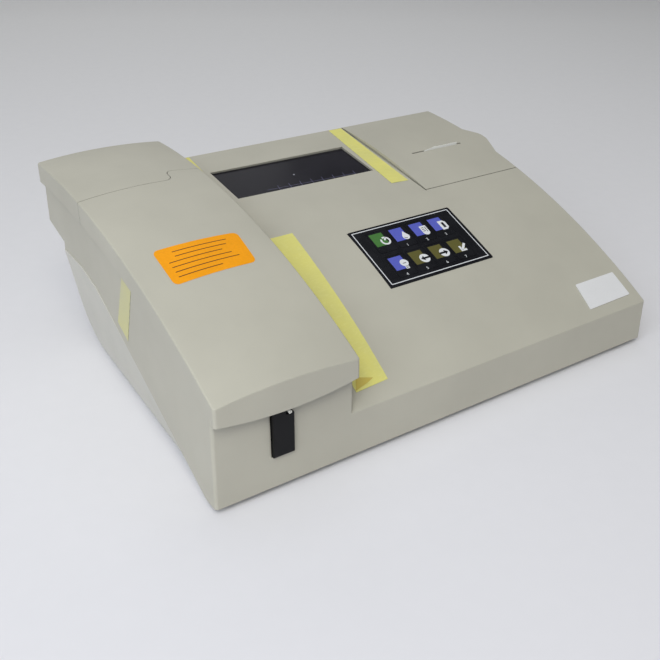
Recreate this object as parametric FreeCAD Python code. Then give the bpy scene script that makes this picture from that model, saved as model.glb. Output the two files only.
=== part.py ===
"""Semi-automatic chemistry analyzer: a bench instrument that draws a sample through a nozzle,
measures it in a flow cell and prints the result.

Lengths are in millimetres. While a piece is being made, x runs from the left wall to the right,
y from the front wall to the rear and z upwards from the lower edge of the casing. Every finished
piece is moved once, in keep(), so that the origin lies on the table under the middle of the analyzer.
"""
import FreeCAD, Part
import math
import os

# Casing
WIDTH = 400.0              # left wall to right wall
REAR = 295.0               # front wall to rear wall, at the lower edge
WALL = 2.5                 # moulded wall
DRAFT = 0.02               # lean of the outer walls, per millimetre of height
LID_DRAFT = 0.002          # lean of the left wall of the pod's lid
CORNER = 2.5               # upright corners of the casing
EDGE = 1.5                 # rounding along the upper edges of the housing
LID_EDGE = 1.3             # and of the lid and the rear cover
GAP = 0.8                  # visible seam round a cover
TURN_GAP = 0.5             # seam between the pod's lid and its rear cover
FIT = 0.3                  # running clearance beside a moving piece

# Profile of the top panel, seen from the side: front edge, a middle point, rear edge
FRONT_TOP = 34.0
MIDDLE_Y = 137.0
MIDDLE_TOP = 96.5
REAR_TOP = 124.5

# Side crease, where the upper housing ends and the lower shell begins
BELLY_REAR = REAR - 38.0   # rear wall of the lower shell
CREASE_FRONT_Y = 13.0      # the crease leaves the lower edge here
CREASE_KNEE_Y = BELLY_REAR - 69.0
CREASE_KNEE_Z = 75.0
CREASE_BEND_Y = BELLY_REAR - 39.0
CREASE_BEND_Z = 81.5
CREASE_REAR_Z = 81.3
BELLY_ROUND = 30.0         # its rounded lower rear edge
BELLY_INSET_FRONT = 5.5    # how far its floor lies inside the side walls, at the front
BELLY_INSET_REAR = 13.5    # and at the rear
BELLY_LEDGE = 1.0          # step under the crease
OVERHANG_Z = 87.5          # underside of the housing just behind the lower shell
OVERHANG_RISE = 7.5        # rise of that underside to the rear wall

# Sample pod on the left, with its lid
POD = 105.0                # width
LID_LIP = 6.4              # the lid stands this far in front of the front wall
COVER_LIP = 4.2            # the rear cover stands this far behind the rear wall
LID_FRONT_TOP = 80.0
LID_MIDDLE_Y = 130.0
LID_MIDDLE_TOP = 127.5
LID_REAR_TOP = 141.4
CROWN = 3.2                # rise of the lid between its side edges
SEAM_FRONT = 66.6          # height of the seam under the lid
SEAM_MIDDLE_Y = 134.0
SEAM_MIDDLE = 111.5
SEAM_REAR = 126.0
SMILE = 4.7                # dip in the middle of the lid's front edge

# Lid hinge, a round pin under the rear cover
HINGE_Y = REAR - 62.5
HINGE_DEPTH = 5.5          # pin axis under the lid's side edge
HINGE_PIN = 1.75           # radius
PIN_CLEAR = 0.08           # radial clearance of a hinge pin
SEAM_LEFT_R = 30.0         # the rear seam turns about the pin at this radius on the left
SEAM_RIGHT_R = 15.0        # and at this one on the right
SEAM_STEP_X = 75.5
SEAM_STEP_ROUND = 6.0
ARM = 5.0                  # thickness of a lid arm
ARM_LEFT_X = 12.0
ARM_RIGHT_X = 86.0
ARM_BAND = 5.5             # width of an arm's curved part

# Printer on the right
PRINTER_X = WIDTH - 110.0
PRINTER_Y = REAR - 134.7
SKIRT = 10.0
PRINTER_HINGE_IN = 7.0     # pin axis in front of the rear wall and under the top
KNUCKLE = 10.3             # the lid's rear edge turns inside this radius
PAPER = 57.0               # width of the paper
PAPER_X = PRINTER_X + 27.0
SLOT_Y = REAR - 80.5
SLOT = 1.6
CHEEK = 2.5
CHEEK_FRONT = REAR - 113.0
PRINTER_FLOOR = 58.0
PLATEN_Z = 103.0
PLATEN_R = 5.5
ROLL_Y = REAR - 61.0
ROLL_Z = 84.0
ROLL_R = 18.0
MODULE = 1.0               # tooth size of the feed gears
PLATEN_TEETH = 12
IDLER_TEETH = 22
PINION_TEETH = 10
GEAR = 3.0                 # face width
TAB_Y = REAR - 100.5
TAB_LENGTH = 38.0
TAB_OUT = 6.5              # the lid's thumb tab stands this far out of the right wall
TAB = 3.2

# Display and keypad
PANEL_LEFT_Y = REAR - 105.8    # front boundary of the display panel, beside the pod
PANEL_RIGHT_Y = REAR - 138.0   # and beside the printer
SCREEN_X = POD + 27.6
SCREEN_WIDTH = PRINTER_X - POD - 49.8
SCREEN_Y = REAR - 87.4
SCREEN_LENGTH = 50.6
GLASS = 1.5
GLASS_MARGIN = 5.0
LCD_DEPTH = 8.0
GLASS_REBATE = 0.6         # the glass lies this deep in the panel's underside
KEYPAD_X = WIDTH - 211.0
KEYPAD_WIDTH = 103.3
KEYPAD_Y = REAR - 221.5
KEYPAD_LENGTH = 64.2
OVERLAY = 1.7              # thickness of the keypad's face
OVERLAY_PROUD = 0.5
KEY_COLUMNS = 4
KEY_ROWS = 2
KEY_WIDTH = 17.6
KEY_LENGTH = 23.0
KEY_PITCH = 19.8           # from key to key along a row
KEY_ROW_PITCH = 28.0
KEY_LEFT = 22.6            # middle of the first key from the keypad's left edge
KEY_FRONT = 18.5           # and of the front row from its front edge
KEY_ROUND = 1.5
KEY_TRAVEL = 0.5
KEY_FLANGE = 0.8           # thickness and reach of the rim that holds a key behind the face
KEY_GAP = 0.3

# Sample compartment under the lid
DECK = 56.0                # upper face of the compartment's floor
DECK_BACK = HINGE_Y - 42.5
DECK_BACK_TOP = 117.0
DECK_WALL = 2.0
PUMP_X = 76.0
PUMP_Y = DECK_BACK - 40.0
TRACK_R = 18.0
TRACK_WALL = 5.0
PUMP_HEIGHT = 16.0
ROTOR_R = 14.0
ROLLER_R = 3.8
ROLLER_ORBIT = 11.0
ROLLERS = 3
TUBE_R = 1.2
SHAFT_R = 2.5

# Optical line, along y under the compartment
OPTIC_X = 30.0
OPTIC_Z = 40.0
CELL_Y = 90.0
CELL = 30.0                # side of the cell block
CELL_TOP = 66.0
CUVETTE = 12.6             # side of the cuvette well
CUVETTE_DEPTH = 40.0
FILTER_Y = BELLY_REAR - 57.0
FILTER_ORBIT = 21.0
FILTER_WHEEL_R = 27.0
FILTER_R = 5.0
FILTERS = 8
LAMP_BACK = BELLY_REAR - 17.0
BENCH_Z = 10.0
BENCH = 3.0

# Sample trigger on the front
TRIGGER_X = 42.0
TRIGGER_WIDTH = 15.3
TRIGGER_LOW = 24.6
TRIGGER_HIGH = 64.8
TRIGGER_PROUD = 2.3
TRIGGER_PLATE = 3.2
TRIGGER_PIVOT_Y = 7.4
TRIGGER_PIVOT_Z = 64.0
TRIGGER_PIN = 1.5
NOZZLE_NOTCH = 5.9         # corner left free for the nozzle
NOZZLE_OUT = 5.0           # the nozzle's tip in front of the front wall
NOZZLE_TILT = 4.6          # rise of the nozzle from its tip to its guide
EAR = 2.6                  # thickness of the bracket's ears
EAR_GAP = 1.0

# Rear sockets and the rest of the inside
FAN_X = POD + 30.0
FAN = 50.0
FAN_DEPTH = 15.0
FAN_Z = 57.0
SERIAL_X = PRINTER_X - 73.0
SWITCH_X = PRINTER_X - 47.0
SWITCH_WIDTH = 13.0
SWITCH_HEIGHT = 19.0
INLET_X = PRINTER_X - 17.0
INLET_WIDTH = 27.0
INLET_HEIGHT = 20.0
SOCKET_Z = 58.0
WASTE_X = 100.0
WASTE_Z = 48.0
WASTE_R = 3.0
FOOT = 5.0
FOOT_R = 9.0
FOOT_PLACES = ((35.0, 25.0), (WIDTH - 35.0, 25.0), (42.0, BELLY_REAR - 45.0),
               (WIDTH - 42.0, BELLY_REAR - 45.0))
SCREW_PLACES = ((120.0, 30.0), (PRINTER_X - 5.0, 30.0), (112.0, BELLY_REAR - 35.0),
                (PRINTER_X - 7.0, BELLY_REAR - 35.0))
SCREW_R = 1.5
POST_R = 4.0
POST_FOOT = 14.0           # height where the housing's posts meet those of the lower shell
BOARD = 1.6

X = FreeCAD.Vector(1, 0, 0)
Y = FreeCAD.Vector(0, 1, 0)
Z = FreeCAD.Vector(0, 0, 1)
FAR = 400.0                # reaches past the whole analyzer
PARTS = "parts"


def at(x, y, z):
    return FreeCAD.Vector(x, y, z)


def box(x0, x1, y0, y1, z0, z1):
    return Part.makeBox(x1 - x0, y1 - y0, z1 - z0, at(x0, y0, z0))


def rod(radius, start, axis, length):
    return Part.makeCylinder(radius, length, start, axis)


def rod_x(radius, x0, x1, y, z):
    return rod(radius, at(x0, y, z), X, x1 - x0)


def rod_y(radius, y0, y1, x, z):
    return rod(radius, at(x, y0, z), Y, y1 - y0)


def rod_z(radius, z0, z1, x, y):
    return rod(radius, at(x, y, z0), Z, z1 - z0)


def joined(shapes):
    first = shapes[0]
    if len(shapes) > 1:
        first = first.fuse(shapes[1:])
    return first.removeSplitter()


def rounded(points, radii):
    """Closed wire through the points, with each corner rounded by its own radius."""
    edges = []
    starts = []
    ends = []
    count = len(points)
    for i, corner in enumerate(points):
        before = (points[i - 1] - corner).normalize()
        after = (points[(i + 1) % count] - corner).normalize()
        half = before.getAngle(after) / 2
        reach = radii[i] / math.tan(half)
        starts.append(corner + before * reach)
        ends.append(corner + after * reach)
        if radii[i] > 0:
            inward = (before + after).normalize()
            middle = corner + inward * (radii[i] / math.sin(half) - radii[i])
            edges.append(Part.Arc(starts[i], middle, ends[i]).toShape())
        else:
            edges.append(None)
    wire = []
    for i in range(count):
        if edges[i]:
            wire.append(edges[i])
        following = starts[(i + 1) % count]
        if (following - ends[i]).Length > 1e-6:
            wire.append(Part.makeLine(ends[i], following))
    return Part.Wire(Part.__sortEdges__(wire))


def plate(x0, x1, y0, y1, z0, z1, radius):
    """A plate with rounded upright edges."""
    corners = [at(x0, y0, z0), at(x1, y0, z0), at(x1, y1, z0), at(x0, y1, z0)]
    return Part.Face(rounded(corners, [radius] * 4)).extrude(Z * (z1 - z0))


def side_prism(points, radii, x0, x1):
    """A side profile, given as (y, z) pairs, drawn out along x."""
    corners = [at(x0, y, z) for y, z in points]
    return Part.Face(rounded(corners, radii)).extrude(X * (x1 - x0))


def tapered(x0, x1, y0, y1, radii, leans):
    """An upright block whose walls lean inwards; leans are those of the left, right, front and rear."""
    wires = []
    for z in (-60.0, 220.0):
        left, right, front, rear = [lean * z for lean in leans]
        corners = [at(x0 + left, y0 + front, z), at(x1 - right, y0 + front, z),
                   at(x1 - right, y1 - rear, z), at(x0 + left, y1 - rear, z)]
        wires.append(rounded(corners, radii))
    return Part.makeLoft(wires, True, True)


class SideArc:
    """A circular arc in the side view, through three (y, z) points."""

    def __init__(self, first, second, third):
        (ay, az), (by, bz), (cy, cz) = first, second, third
        turn = 2 * (ay * (bz - cz) + by * (cz - az) + cy * (az - bz))
        a, b, c = ay * ay + az * az, by * by + bz * bz, cy * cy + cz * cz
        self.y = (a * (bz - cz) + b * (cz - az) + c * (az - bz)) / turn
        self.z = (a * (cy - by) + b * (ay - cy) + c * (by - ay)) / turn
        self.radius = math.hypot(ay - self.y, az - self.z)

    def height(self, y, inset=0.0):
        return self.z + math.sqrt((self.radius - inset) ** 2 - (y - self.y) ** 2)

    def slope(self, y):
        return math.atan2(self.y - y, self.height(y) - self.z)

    def below(self, inset, x0=-FAR, x1=2 * FAR):
        """Everything under the arc, moved down by the inset."""
        y0, y1, low = -40.0, REAR + 40.0, -80.0
        middle = (y0 + y1) / 2
        ends = [at(x0, y, self.height(y, inset)) for y in (y0, middle, y1)]
        lower = [at(x0, y1, low), at(x0, y0, low)]
        edges = [Part.Arc(*ends).toShape(), Part.makeLine(ends[2], lower[0]),
                 Part.makeLine(lower[0], lower[1]), Part.makeLine(lower[1], ends[0])]
        return Part.Face(Part.Wire(edges)).extrude(X * (x1 - x0))

    def crowned(self, inset, x0, x1, rise):
        """The arc turned about its centre, with a rise between x0 and x1."""
        start = self.radius - inset
        low = start - 160.0
        top = [at(x0, 0, start), at((x0 + x1) / 2, 0, start + rise), at(x1, 0, start)]
        foot = [at(x1, 0, low), at(x0, 0, low)]
        edges = [Part.Arc(*top).toShape(), Part.makeLine(top[2], foot[0]),
                 Part.makeLine(foot[0], foot[1]), Part.makeLine(foot[1], top[0])]
        face = Part.Face(Part.Wire(edges))
        face.rotate(at(0, 0, 0), X, 35.0)
        solid = face.revolve(at(0, 0, 0), X, -50.0)
        solid.translate(at(0, self.y, self.z))
        return solid


TOP = SideArc((0, FRONT_TOP), (MIDDLE_Y, MIDDLE_TOP), (REAR, REAR_TOP))
LID = SideArc((-LID_LIP, LID_FRONT_TOP), (LID_MIDDLE_Y, LID_MIDDLE_TOP), (REAR + COVER_LIP, LID_REAR_TOP))
SEAM = SideArc((-LID_LIP, SEAM_FRONT), (SEAM_MIDDLE_Y, SEAM_MIDDLE), (REAR + COVER_LIP, SEAM_REAR))
HINGE_Z = LID.height(HINGE_Y) - HINGE_DEPTH
PRINTER_HINGE_Y = REAR - DRAFT * REAR_TOP - PRINTER_HINGE_IN
PRINTER_HINGE_Z = TOP.height(PRINTER_HINGE_Y) - PRINTER_HINGE_IN


class Slope:
    """A tilted plane through two (y, z) points: u is x, v runs up the slope, w is square to it.

    It may also fall towards the right, by the given share, about an axis at pivot_x.
    """

    def __init__(self, first, second, pivot_x=0.0, fall=0.0):
        self.foot = first
        self.angle = math.atan2(second[1] - first[1], second[0] - first[0])
        self.pivot_x = pivot_x
        self.roll = math.atan(fall)

    def set(self, shape):
        moved = shape.copy()
        moved.rotate(at(self.pivot_x, 0, 0), Y, math.degrees(self.roll))
        moved.rotate(at(0, 0, 0), X, math.degrees(self.angle))
        moved.translate(at(0, *self.foot))
        return moved

    def normal(self):
        return at(0, -math.sin(self.angle), math.cos(self.angle))

    def along(self, y):
        """Distance up the slope of a point at this y."""
        return (y - self.foot[0]) / math.cos(self.angle)


def panel_ends(x):
    """Front and rear end of the display panel at this x; its front boundary runs slantwise."""
    share = (x - POD) / (PRINTER_X - POD)
    left = at(POD, PANEL_LEFT_Y, TOP.height(PANEL_LEFT_Y))
    right = at(PRINTER_X, PANEL_RIGHT_Y, TOP.height(PANEL_RIGHT_Y))
    return left + (right - left) * share, at(x, REAR, REAR_TOP)


def panel_height(x, y):
    front, rear = panel_ends(x)
    return rear.z - (rear.z - front.z) * (rear.y - y) / (rear.y - front.y)


def screen_plane():
    """The flat plane of the display, laid against the slightly twisted panel at the screen's middle."""
    x, y = SCREEN_X + SCREEN_WIDTH / 2, SCREEN_Y + SCREEN_LENGTH / 2
    front, rear = panel_ends(x)
    fall = (panel_height(SCREEN_X, y) - panel_height(SCREEN_X + SCREEN_WIDTH, y)) / SCREEN_WIDTH
    return Slope((front.y, front.z), (rear.y, rear.z), x, fall)


PANEL = screen_plane()
KEYPAD_END = KEYPAD_Y + KEYPAD_LENGTH * math.cos(TOP.slope(KEYPAD_Y + KEYPAD_LENGTH / 2))
KEYS = Slope((KEYPAD_Y, TOP.height(KEYPAD_Y)), (KEYPAD_END, TOP.height(KEYPAD_END)))


CREASE = ((CREASE_FRONT_Y, 0.0), (CREASE_KNEE_Y, CREASE_KNEE_Z), (CREASE_BEND_Y, CREASE_BEND_Z),
          (BELLY_REAR, CREASE_REAR_Z))


def crease(y):
    """Height of the side crease, straight between its points."""
    for (y0, z0), (y1, z1) in zip(CREASE, CREASE[1:]):
        if y <= y1:
            return z0 + (z1 - z0) * (y - y0) / (y1 - y0)
    return CREASE_REAR_Z


def overhang(y):
    """Height of the housing's underside behind the lower shell."""
    return OVERHANG_Z + OVERHANG_RISE * (y - BELLY_REAR) / (REAR - BELLY_REAR)


def casing_block(inset):
    return tapered(inset, WIDTH - inset, inset, REAR - inset, [max(CORNER - inset, 1.0)] * 4, [DRAFT] * 4)


def pod_block(inset, front, rear, lean):
    return tapered(inset, POD - inset, front + inset, rear - inset, [max(CORNER - inset, 0.5)] * 4,
                   [lean, 0.0, DRAFT, DRAFT])


def top_edges(solid, lowest):
    """The edges that bound the solid's upper face, apart from those below the given height."""
    upper = max(solid.Faces, key=lambda face: face.Area * (face.CenterOfMass.z > lowest))
    return upper.Edges


def casing_core(inset):
    """The casing without its pod, as a filled form."""
    core = casing_block(inset).common(TOP.below(inset))
    if inset == 0:
        core = core.makeFillet(EDGE, top_edges(core, FRONT_TOP))
    return core.cut(above_panel(inset))


def above_panel(inset):
    """The space over the display panel, from inside the pod's wall to the printer."""
    wires = []
    for x in (POD - 2 * WALL, PRINTER_X + inset):
        front, rear = panel_ends(x)
        reach = (rear - front) * 0.2
        start, end = front - reach - Z * inset, rear + reach - Z * inset
        wires.append(Part.makePolygon([start, end, end + Z * 60, start + Z * 60, start]))
    return Part.makeLoft(wires, True, True)


def under_crease():
    """The space below the housing: under the side crease, and under the rear overhang."""
    end = REAR + 20
    profile = [(-20, -100), (-20, 0)] + list(CREASE)
    profile += [(BELLY_REAR, OVERHANG_Z), (end, overhang(end)), (end, -100)]
    return side_prism(profile, [0] * len(profile), -20, WIDTH + 20)


def pod_space():
    """The open inside of the pod, with no top."""
    return pod_block(WALL, 0, REAR, DRAFT)


def lid_form(inset):
    """Lid and rear cover in one, as a filled form down to the seam and below.

    Its left wall is nearly upright, so that it stands out a little over the housing's wall.
    """
    form = pod_block(inset, -LID_LIP - DRAFT * SEAM_FRONT, REAR + COVER_LIP, LID_DRAFT)
    form = form.common(LID.crowned(inset, 0, POD, CROWN))
    if inset == 0:
        form = form.makeFillet(LID_EDGE, top_edges(form, SEAM_FRONT))
    return form


def under_lid(gap):
    """What lies under the seam, with the curved lower edge of the lid's front."""
    seam = SEAM.below(-gap).common(box(-20, POD + 20, -0.5, FAR, -FAR, FAR))
    low = SEAM_FRONT
    ends = [at(CORNER, -20, low), at(POD / 2, -20, low - SMILE), at(POD - CORNER, -20, low)]
    outer = [at(POD + 20, -20, low), at(POD + 20, -20, -80), at(-20, -20, -80), at(-20, -20, low)]
    edges = [Part.Arc(*ends).toShape(), Part.makeLine(ends[2], outer[0]), Part.makeLine(outer[0], outer[1]),
             Part.makeLine(outer[1], outer[2]), Part.makeLine(outer[2], outer[3]),
             Part.makeLine(outer[3], ends[0])]
    smile = Part.Face(Part.Wire(edges)).extrude(Y * 19.5)
    return seam.fuse(smile)


def behind_seam(gap):
    """The space of the rear cover: a form turned about the hinge pin, stepped between left and right."""
    left, right, step = SEAM_LEFT_R + gap, SEAM_RIGHT_R + gap, SEAM_STEP_X + gap
    end = POD + 20
    radii = [0, 0, SEAM_STEP_ROUND + gap, SEAM_STEP_ROUND - gap, 0, 0]
    turned = [at(-20, 0, 0), at(-20, left, 0), at(step, left, 0), at(step, right, 0), at(end, right, 0),
              at(end, 0, 0)]
    form = Part.Face(rounded(turned, radii)).revolve(at(0, 0, 0), X, 360)
    plan = [at(x, -y, 0) for x, y, _ in turned]
    lower = Part.Face(rounded(plan, radii)).extrude(Z * -60)
    form = form.fuse([lower, box(-20, end, 0, FAR, -60, 60)])
    form.translate(at(0, HINGE_Y, HINGE_Z))
    return form


def ring_arc(axis_y, axis_z, inner, outer, start, sweep, x0, x1):
    """A curved band about an axis along x; angles run from the rear over the top, in degrees."""
    profile = [at(x0, axis_y + inner, axis_z), at(x1, axis_y + inner, axis_z),
               at(x1, axis_y + outer, axis_z), at(x0, axis_y + outer, axis_z)]
    face = Part.Face(Part.makePolygon(profile + [profile[0]]))
    face.rotate(at(0, axis_y, axis_z), X, start)
    return face.revolve(at(0, axis_y, axis_z), X, sweep)


def front_lid():
    form = lid_form(0).cut(under_lid(GAP))
    form = form.cut(lid_form(WALL))
    return form.cut(behind_seam(TURN_GAP))


def lid_arm(x):
    """A goose-neck arm: from the lid's underside, round under the rear cover's edge, to the pin."""
    inner = SEAM_LEFT_R + 2.0
    outer = inner + ARM_BAND
    bar_angle = 266.0
    hub_r = HINGE_DEPTH - WALL + CROWN / 2 - 0.6
    band = ring_arc(HINGE_Y, HINGE_Z, inner, outer, 180.0, bar_angle - 180.0, x, x + ARM)
    bar = box(x, x + ARM, 0, outer, -3.0, 3.0)
    bar.rotate(at(0, 0, 0), X, bar_angle)
    bar.translate(at(0, HINGE_Y, HINGE_Z))
    hub = rod_x(hub_r, x, x + ARM, HINGE_Y, HINGE_Z)
    pad = box(x, x + ARM, HINGE_Y - outer - 16, HINGE_Y - inner, HINGE_Z - 8, HINGE_Z + 30)
    pad = pad.common(LID.crowned(WALL, 0, POD, CROWN))
    arm = joined([band, bar, hub, pad])
    return arm.cut(rod_x(HINGE_PIN + PIN_CLEAR, x - 1, x + ARM + 1, HINGE_Y, HINGE_Z))


def lug_places():
    """Inner faces of the rear cover's two hinge lugs, just inside the arms."""
    return (ARM_LEFT_X + ARM + 1.0, ARM_RIGHT_X - 1.0 - ARM)


def rear_cover():
    form = lid_form(0).cut(under_lid(0))
    form = form.cut(lid_form(WALL))
    form = form.common(behind_seam(0))
    pieces = [form]
    for x in lug_places():
        lug = rod_x(4.2, x, x + ARM, HINGE_Y, HINGE_Z)
        web = box(x, x + ARM, HINGE_Y, HINGE_Y + 14, HINGE_Z, HINGE_Z + 20)
        pieces.append(lug.fuse(web).common(LID.crowned(WALL - 0.2, 0, POD, CROWN)))
    cover = joined(pieces)
    return cover.cut(rod_x(HINGE_PIN, 0, POD, HINGE_Y, HINGE_Z).common(box(10, POD - 8, 0, FAR, 0, FAR)))


def hinge_pin():
    return rod_x(HINGE_PIN, ARM_LEFT_X - 1.5, ARM_RIGHT_X + ARM + 1.5, HINGE_Y, HINGE_Z)


def printer_zone(gap):
    """Plan of the printer lid, as a tall block."""
    return box(PRINTER_X + gap, WIDTH + 20, PRINTER_Y + gap, REAR + 20, 0, FAR)


def knuckle(radius):
    return rod_x(radius, PRINTER_X, WIDTH + 20, PRINTER_HINGE_Y, PRINTER_HINGE_Z)


def tab():
    """The thumb tab at the printer lid's right edge, a tongue that carries on the lid's own curve."""
    y0, y1 = TAB_Y, TAB_Y + TAB_LENGTH
    x0 = WIDTH - DRAFT * TOP.height(y0) - EDGE - 1
    x1 = WIDTH + TAB_OUT
    corners = [at(x0, y0 - TAB_LENGTH / 4, 0), at(x1, y0 + TAB_LENGTH / 2, 0),
               at(x1, y1 - TAB_LENGTH / 4, 0), at(x0, y1 + TAB_LENGTH / 5, 0)]
    tongue = Part.Face(rounded(corners, [0, 20, 12, 0])).extrude(Z * FAR)
    tongue = tongue.common(TOP.below(0)).cut(TOP.below(TAB))
    outer = max(tongue.Faces, key=lambda face: face.Area * (face.CenterOfMass.z > TOP.height(y0)))
    rims = [edge for edge in outer.Edges if edge.BoundBox.XMax > WIDTH and edge.Length > 2]
    return tongue.makeFillet(TAB / 3, rims)


def lid_ears():
    """Inner faces of the printer lid's two ears, outside the cheeks of the printer frame."""
    left, right = cheek_places()
    return (left - FIT - 4.0, right + CHEEK + FIT)


def printer_lid():
    form = casing_block(0).common(TOP.below(0))
    form = form.makeFillet(EDGE, top_edges(form, FRONT_TOP))
    form = form.common(printer_zone(GAP / 2))
    inner = casing_block(WALL).common(TOP.below(WALL))
    low = TOP.below(SKIRT).cut(knuckle(KNUCKLE))
    form = form.cut(inner).cut(low)
    behind = box(PRINTER_X, WIDTH + 20, PRINTER_HINGE_Y, FAR, 0, FAR).cut(knuckle(KNUCKLE))
    form = form.cut(behind)
    pieces = [form, tab().cut(inner)]
    for x in lid_ears():
        ear = rod_x(4.0, x, x + 4.0, PRINTER_HINGE_Y, PRINTER_HINGE_Z)
        web = box(x, x + 4.0, PRINTER_HINGE_Y - 7, PRINTER_HINGE_Y, PRINTER_HINGE_Z, FAR)
        pieces.append(ear.fuse(web).common(TOP.below(WALL - 0.2)))
    lid = joined(pieces)
    for x in lid_ears():
        lid = lid.cut(rod_x(1.5 + PIN_CLEAR, x - 1, x + 5, PRINTER_HINGE_Y, PRINTER_HINGE_Z))
    slot = box(PAPER_X - 0.5, PAPER_X + PAPER + 0.5, SLOT_Y - SLOT / 2, SLOT_Y + SLOT / 2, 90, 140)
    return lid.cut(slot)


def printer_bay():
    """What the housing gives up for the printer: the lid's own space and the opening under it."""
    skin = box(PRINTER_X - GAP / 2, WIDTH + 20, PRINTER_Y - GAP / 2, REAR + 20, 0, FAR)
    above = skin.cut(TOP.below(WALL + FIT))
    side = box(WIDTH - WALL - 20, WIDTH + 20, PRINTER_Y - GAP / 2, FAR, 0, FAR).cut(TOP.below(SKIRT + GAP))
    rim = 3.5
    opening = box(PRINTER_X + rim, WIDTH - 20, PRINTER_Y + rim, PRINTER_HINGE_Y, 0, FAR)
    opening = opening.cut(TOP.below(SKIRT * 3))
    turn = rod_x(KNUCKLE + GAP / 2, PRINTER_X - GAP / 2, WIDTH + 20, PRINTER_HINGE_Y, PRINTER_HINGE_Z)
    return joined([above, side, opening, turn])


def keypad_pocket():
    """Seat of the keypad's face, and the window behind it."""
    margin = 2.4
    seat = box(KEYPAD_X, KEYPAD_X + KEYPAD_WIDTH, 0, KEYPAD_LENGTH, OVERLAY_PROUD - OVERLAY, 20)
    window = box(KEYPAD_X + margin, KEYPAD_X + KEYPAD_WIDTH - margin,
                 margin, KEYPAD_LENGTH - margin, -20, 20)
    return KEYS.set(seat.fuse(window))


def keypad_frame():
    """Thicker wall under the keypad's rim, with four bosses that carry the keypad board."""
    rim = 7.0
    under = OVERLAY_PROUD - OVERLAY
    frame = box(KEYPAD_X - rim + 3, KEYPAD_X + KEYPAD_WIDTH + rim - 3, -rim + 3, KEYPAD_LENGTH + rim - 3,
                under - 2.2, under)
    return KEYS.set(frame)


def screen_opening():
    v0 = PANEL.along(SCREEN_Y)
    return PANEL.set(box(SCREEN_X, SCREEN_X + SCREEN_WIDTH, v0, v0 + SCREEN_LENGTH, -20, 20))


def screen_rebate():
    """Seat of the display's glass in the panel's underside."""
    v0 = PANEL.along(SCREEN_Y)
    m = GLASS_MARGIN + FIT
    return PANEL.set(box(SCREEN_X - m, SCREEN_X + SCREEN_WIDTH + m, v0 - m, v0 + SCREEN_LENGTH + m,
                         -2 * WALL, GLASS_REBATE - WALL))


def trigger_opening():
    return box(TRIGGER_X - FIT * 2, TRIGGER_X + TRIGGER_WIDTH + FIT * 2, -5, WALL + 2,
               TRIGGER_LOW - FIT * 2, SEAM_FRONT - 1.5)


def upper_housing():
    outer = casing_core(0)
    pod = pod_block(0, 0, REAR, DRAFT).common(SEAM.below(0))
    outer = outer.fuse(pod)
    inner = casing_core(WALL)
    start, end = BELLY_REAR - WALL, REAR + 20
    closed_rear = side_prism([(start, -100), (end, -100), (end, overhang(end) + WALL),
                              (start, overhang(start) + WALL)], [0] * 4, -20, WIDTH + 20)
    hollow = inner.fuse(pod_space()).cut(closed_rear)
    shell = outer.cut(hollow).cut(under_crease())
    frame = keypad_frame().common(casing_core(WALL / 2))
    posts = []
    for x, y in SCREW_PLACES:
        post = rod_z(POST_R, POST_FOOT, FAR, x, y).common(casing_core(WALL / 2))
        posts.append(post.cut(rod_z(SCREW_R, 0, POST_FOOT + 12, x, y)))
    shell = shell.fuse([frame] + posts)
    for tool in (keypad_pocket(), screen_opening(), screen_rebate(), trigger_opening(), printer_bay()):
        shell = shell.cut(tool)
    return shell


def belly_inset(y):
    return BELLY_INSET_FRONT + (BELLY_INSET_REAR - BELLY_INSET_FRONT) * y / BELLY_REAR


def belly_section(y, wall, lift):
    """Cross-section of the lower shell; the inner one is moved in by the wall and opened upwards."""
    low, side, top = belly_inset(y) + wall, BELLY_LEDGE + wall, crease(y)
    corners = [at(low, y, wall), at(WIDTH - low, y, wall), at(WIDTH - side, y, top)]
    if lift:
        corners += [at(WIDTH - side, y, top + lift), at(side, y, top + lift)]
    corners.append(at(side, y, top))
    return Part.makePolygon(corners + [corners[0]])


def belly_form(y0, y1, wall, lift):
    stations = [y0, CREASE_KNEE_Y, CREASE_BEND_Y, y1]
    form = Part.makeLoft([belly_section(y, wall, lift) for y in stations], True, True)
    centre_y, centre_z = BELLY_REAR - BELLY_ROUND, BELLY_ROUND
    corner = box(-20, WIDTH + 20, centre_y, BELLY_REAR + 20, -20, centre_z)
    corner = corner.cut(rod_x(BELLY_ROUND - wall, -20, WIDTH + 20, centre_y, centre_z))
    return form.cut(corner)


def rear_holes():
    """Openings in the lower shell's rear wall."""
    y0, y1 = BELLY_REAR - WALL - 5, BELLY_REAR + 5
    holes = []
    for i in range(-3, 4):
        x = FAN_X + i * 6.0
        slot = box(x - 1.7, x + 1.7, y0, y1, FAN_Z - 30, FAN_Z + 30)
        holes.append(slot.common(rod_y(FAN / 2 - 3, y0, y1, FAN_X, FAN_Z)))
    holes.append(box(INLET_X - INLET_WIDTH / 2, INLET_X + INLET_WIDTH / 2, y0, y1,
                     SOCKET_Z - INLET_HEIGHT / 2, SOCKET_Z + INLET_HEIGHT / 2))
    holes.append(box(SWITCH_X - SWITCH_WIDTH / 2, SWITCH_X + SWITCH_WIDTH / 2, y0, y1,
                     SOCKET_Z - SWITCH_HEIGHT / 2, SOCKET_Z + SWITCH_HEIGHT / 2))
    holes.append(box(SERIAL_X - 9, SERIAL_X + 9, y0, y1, SOCKET_Z - 5.5, SOCKET_Z + 5.5))
    holes.append(rod_y(WASTE_R, y0, y1, WASTE_X, WASTE_Z))
    return holes


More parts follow.
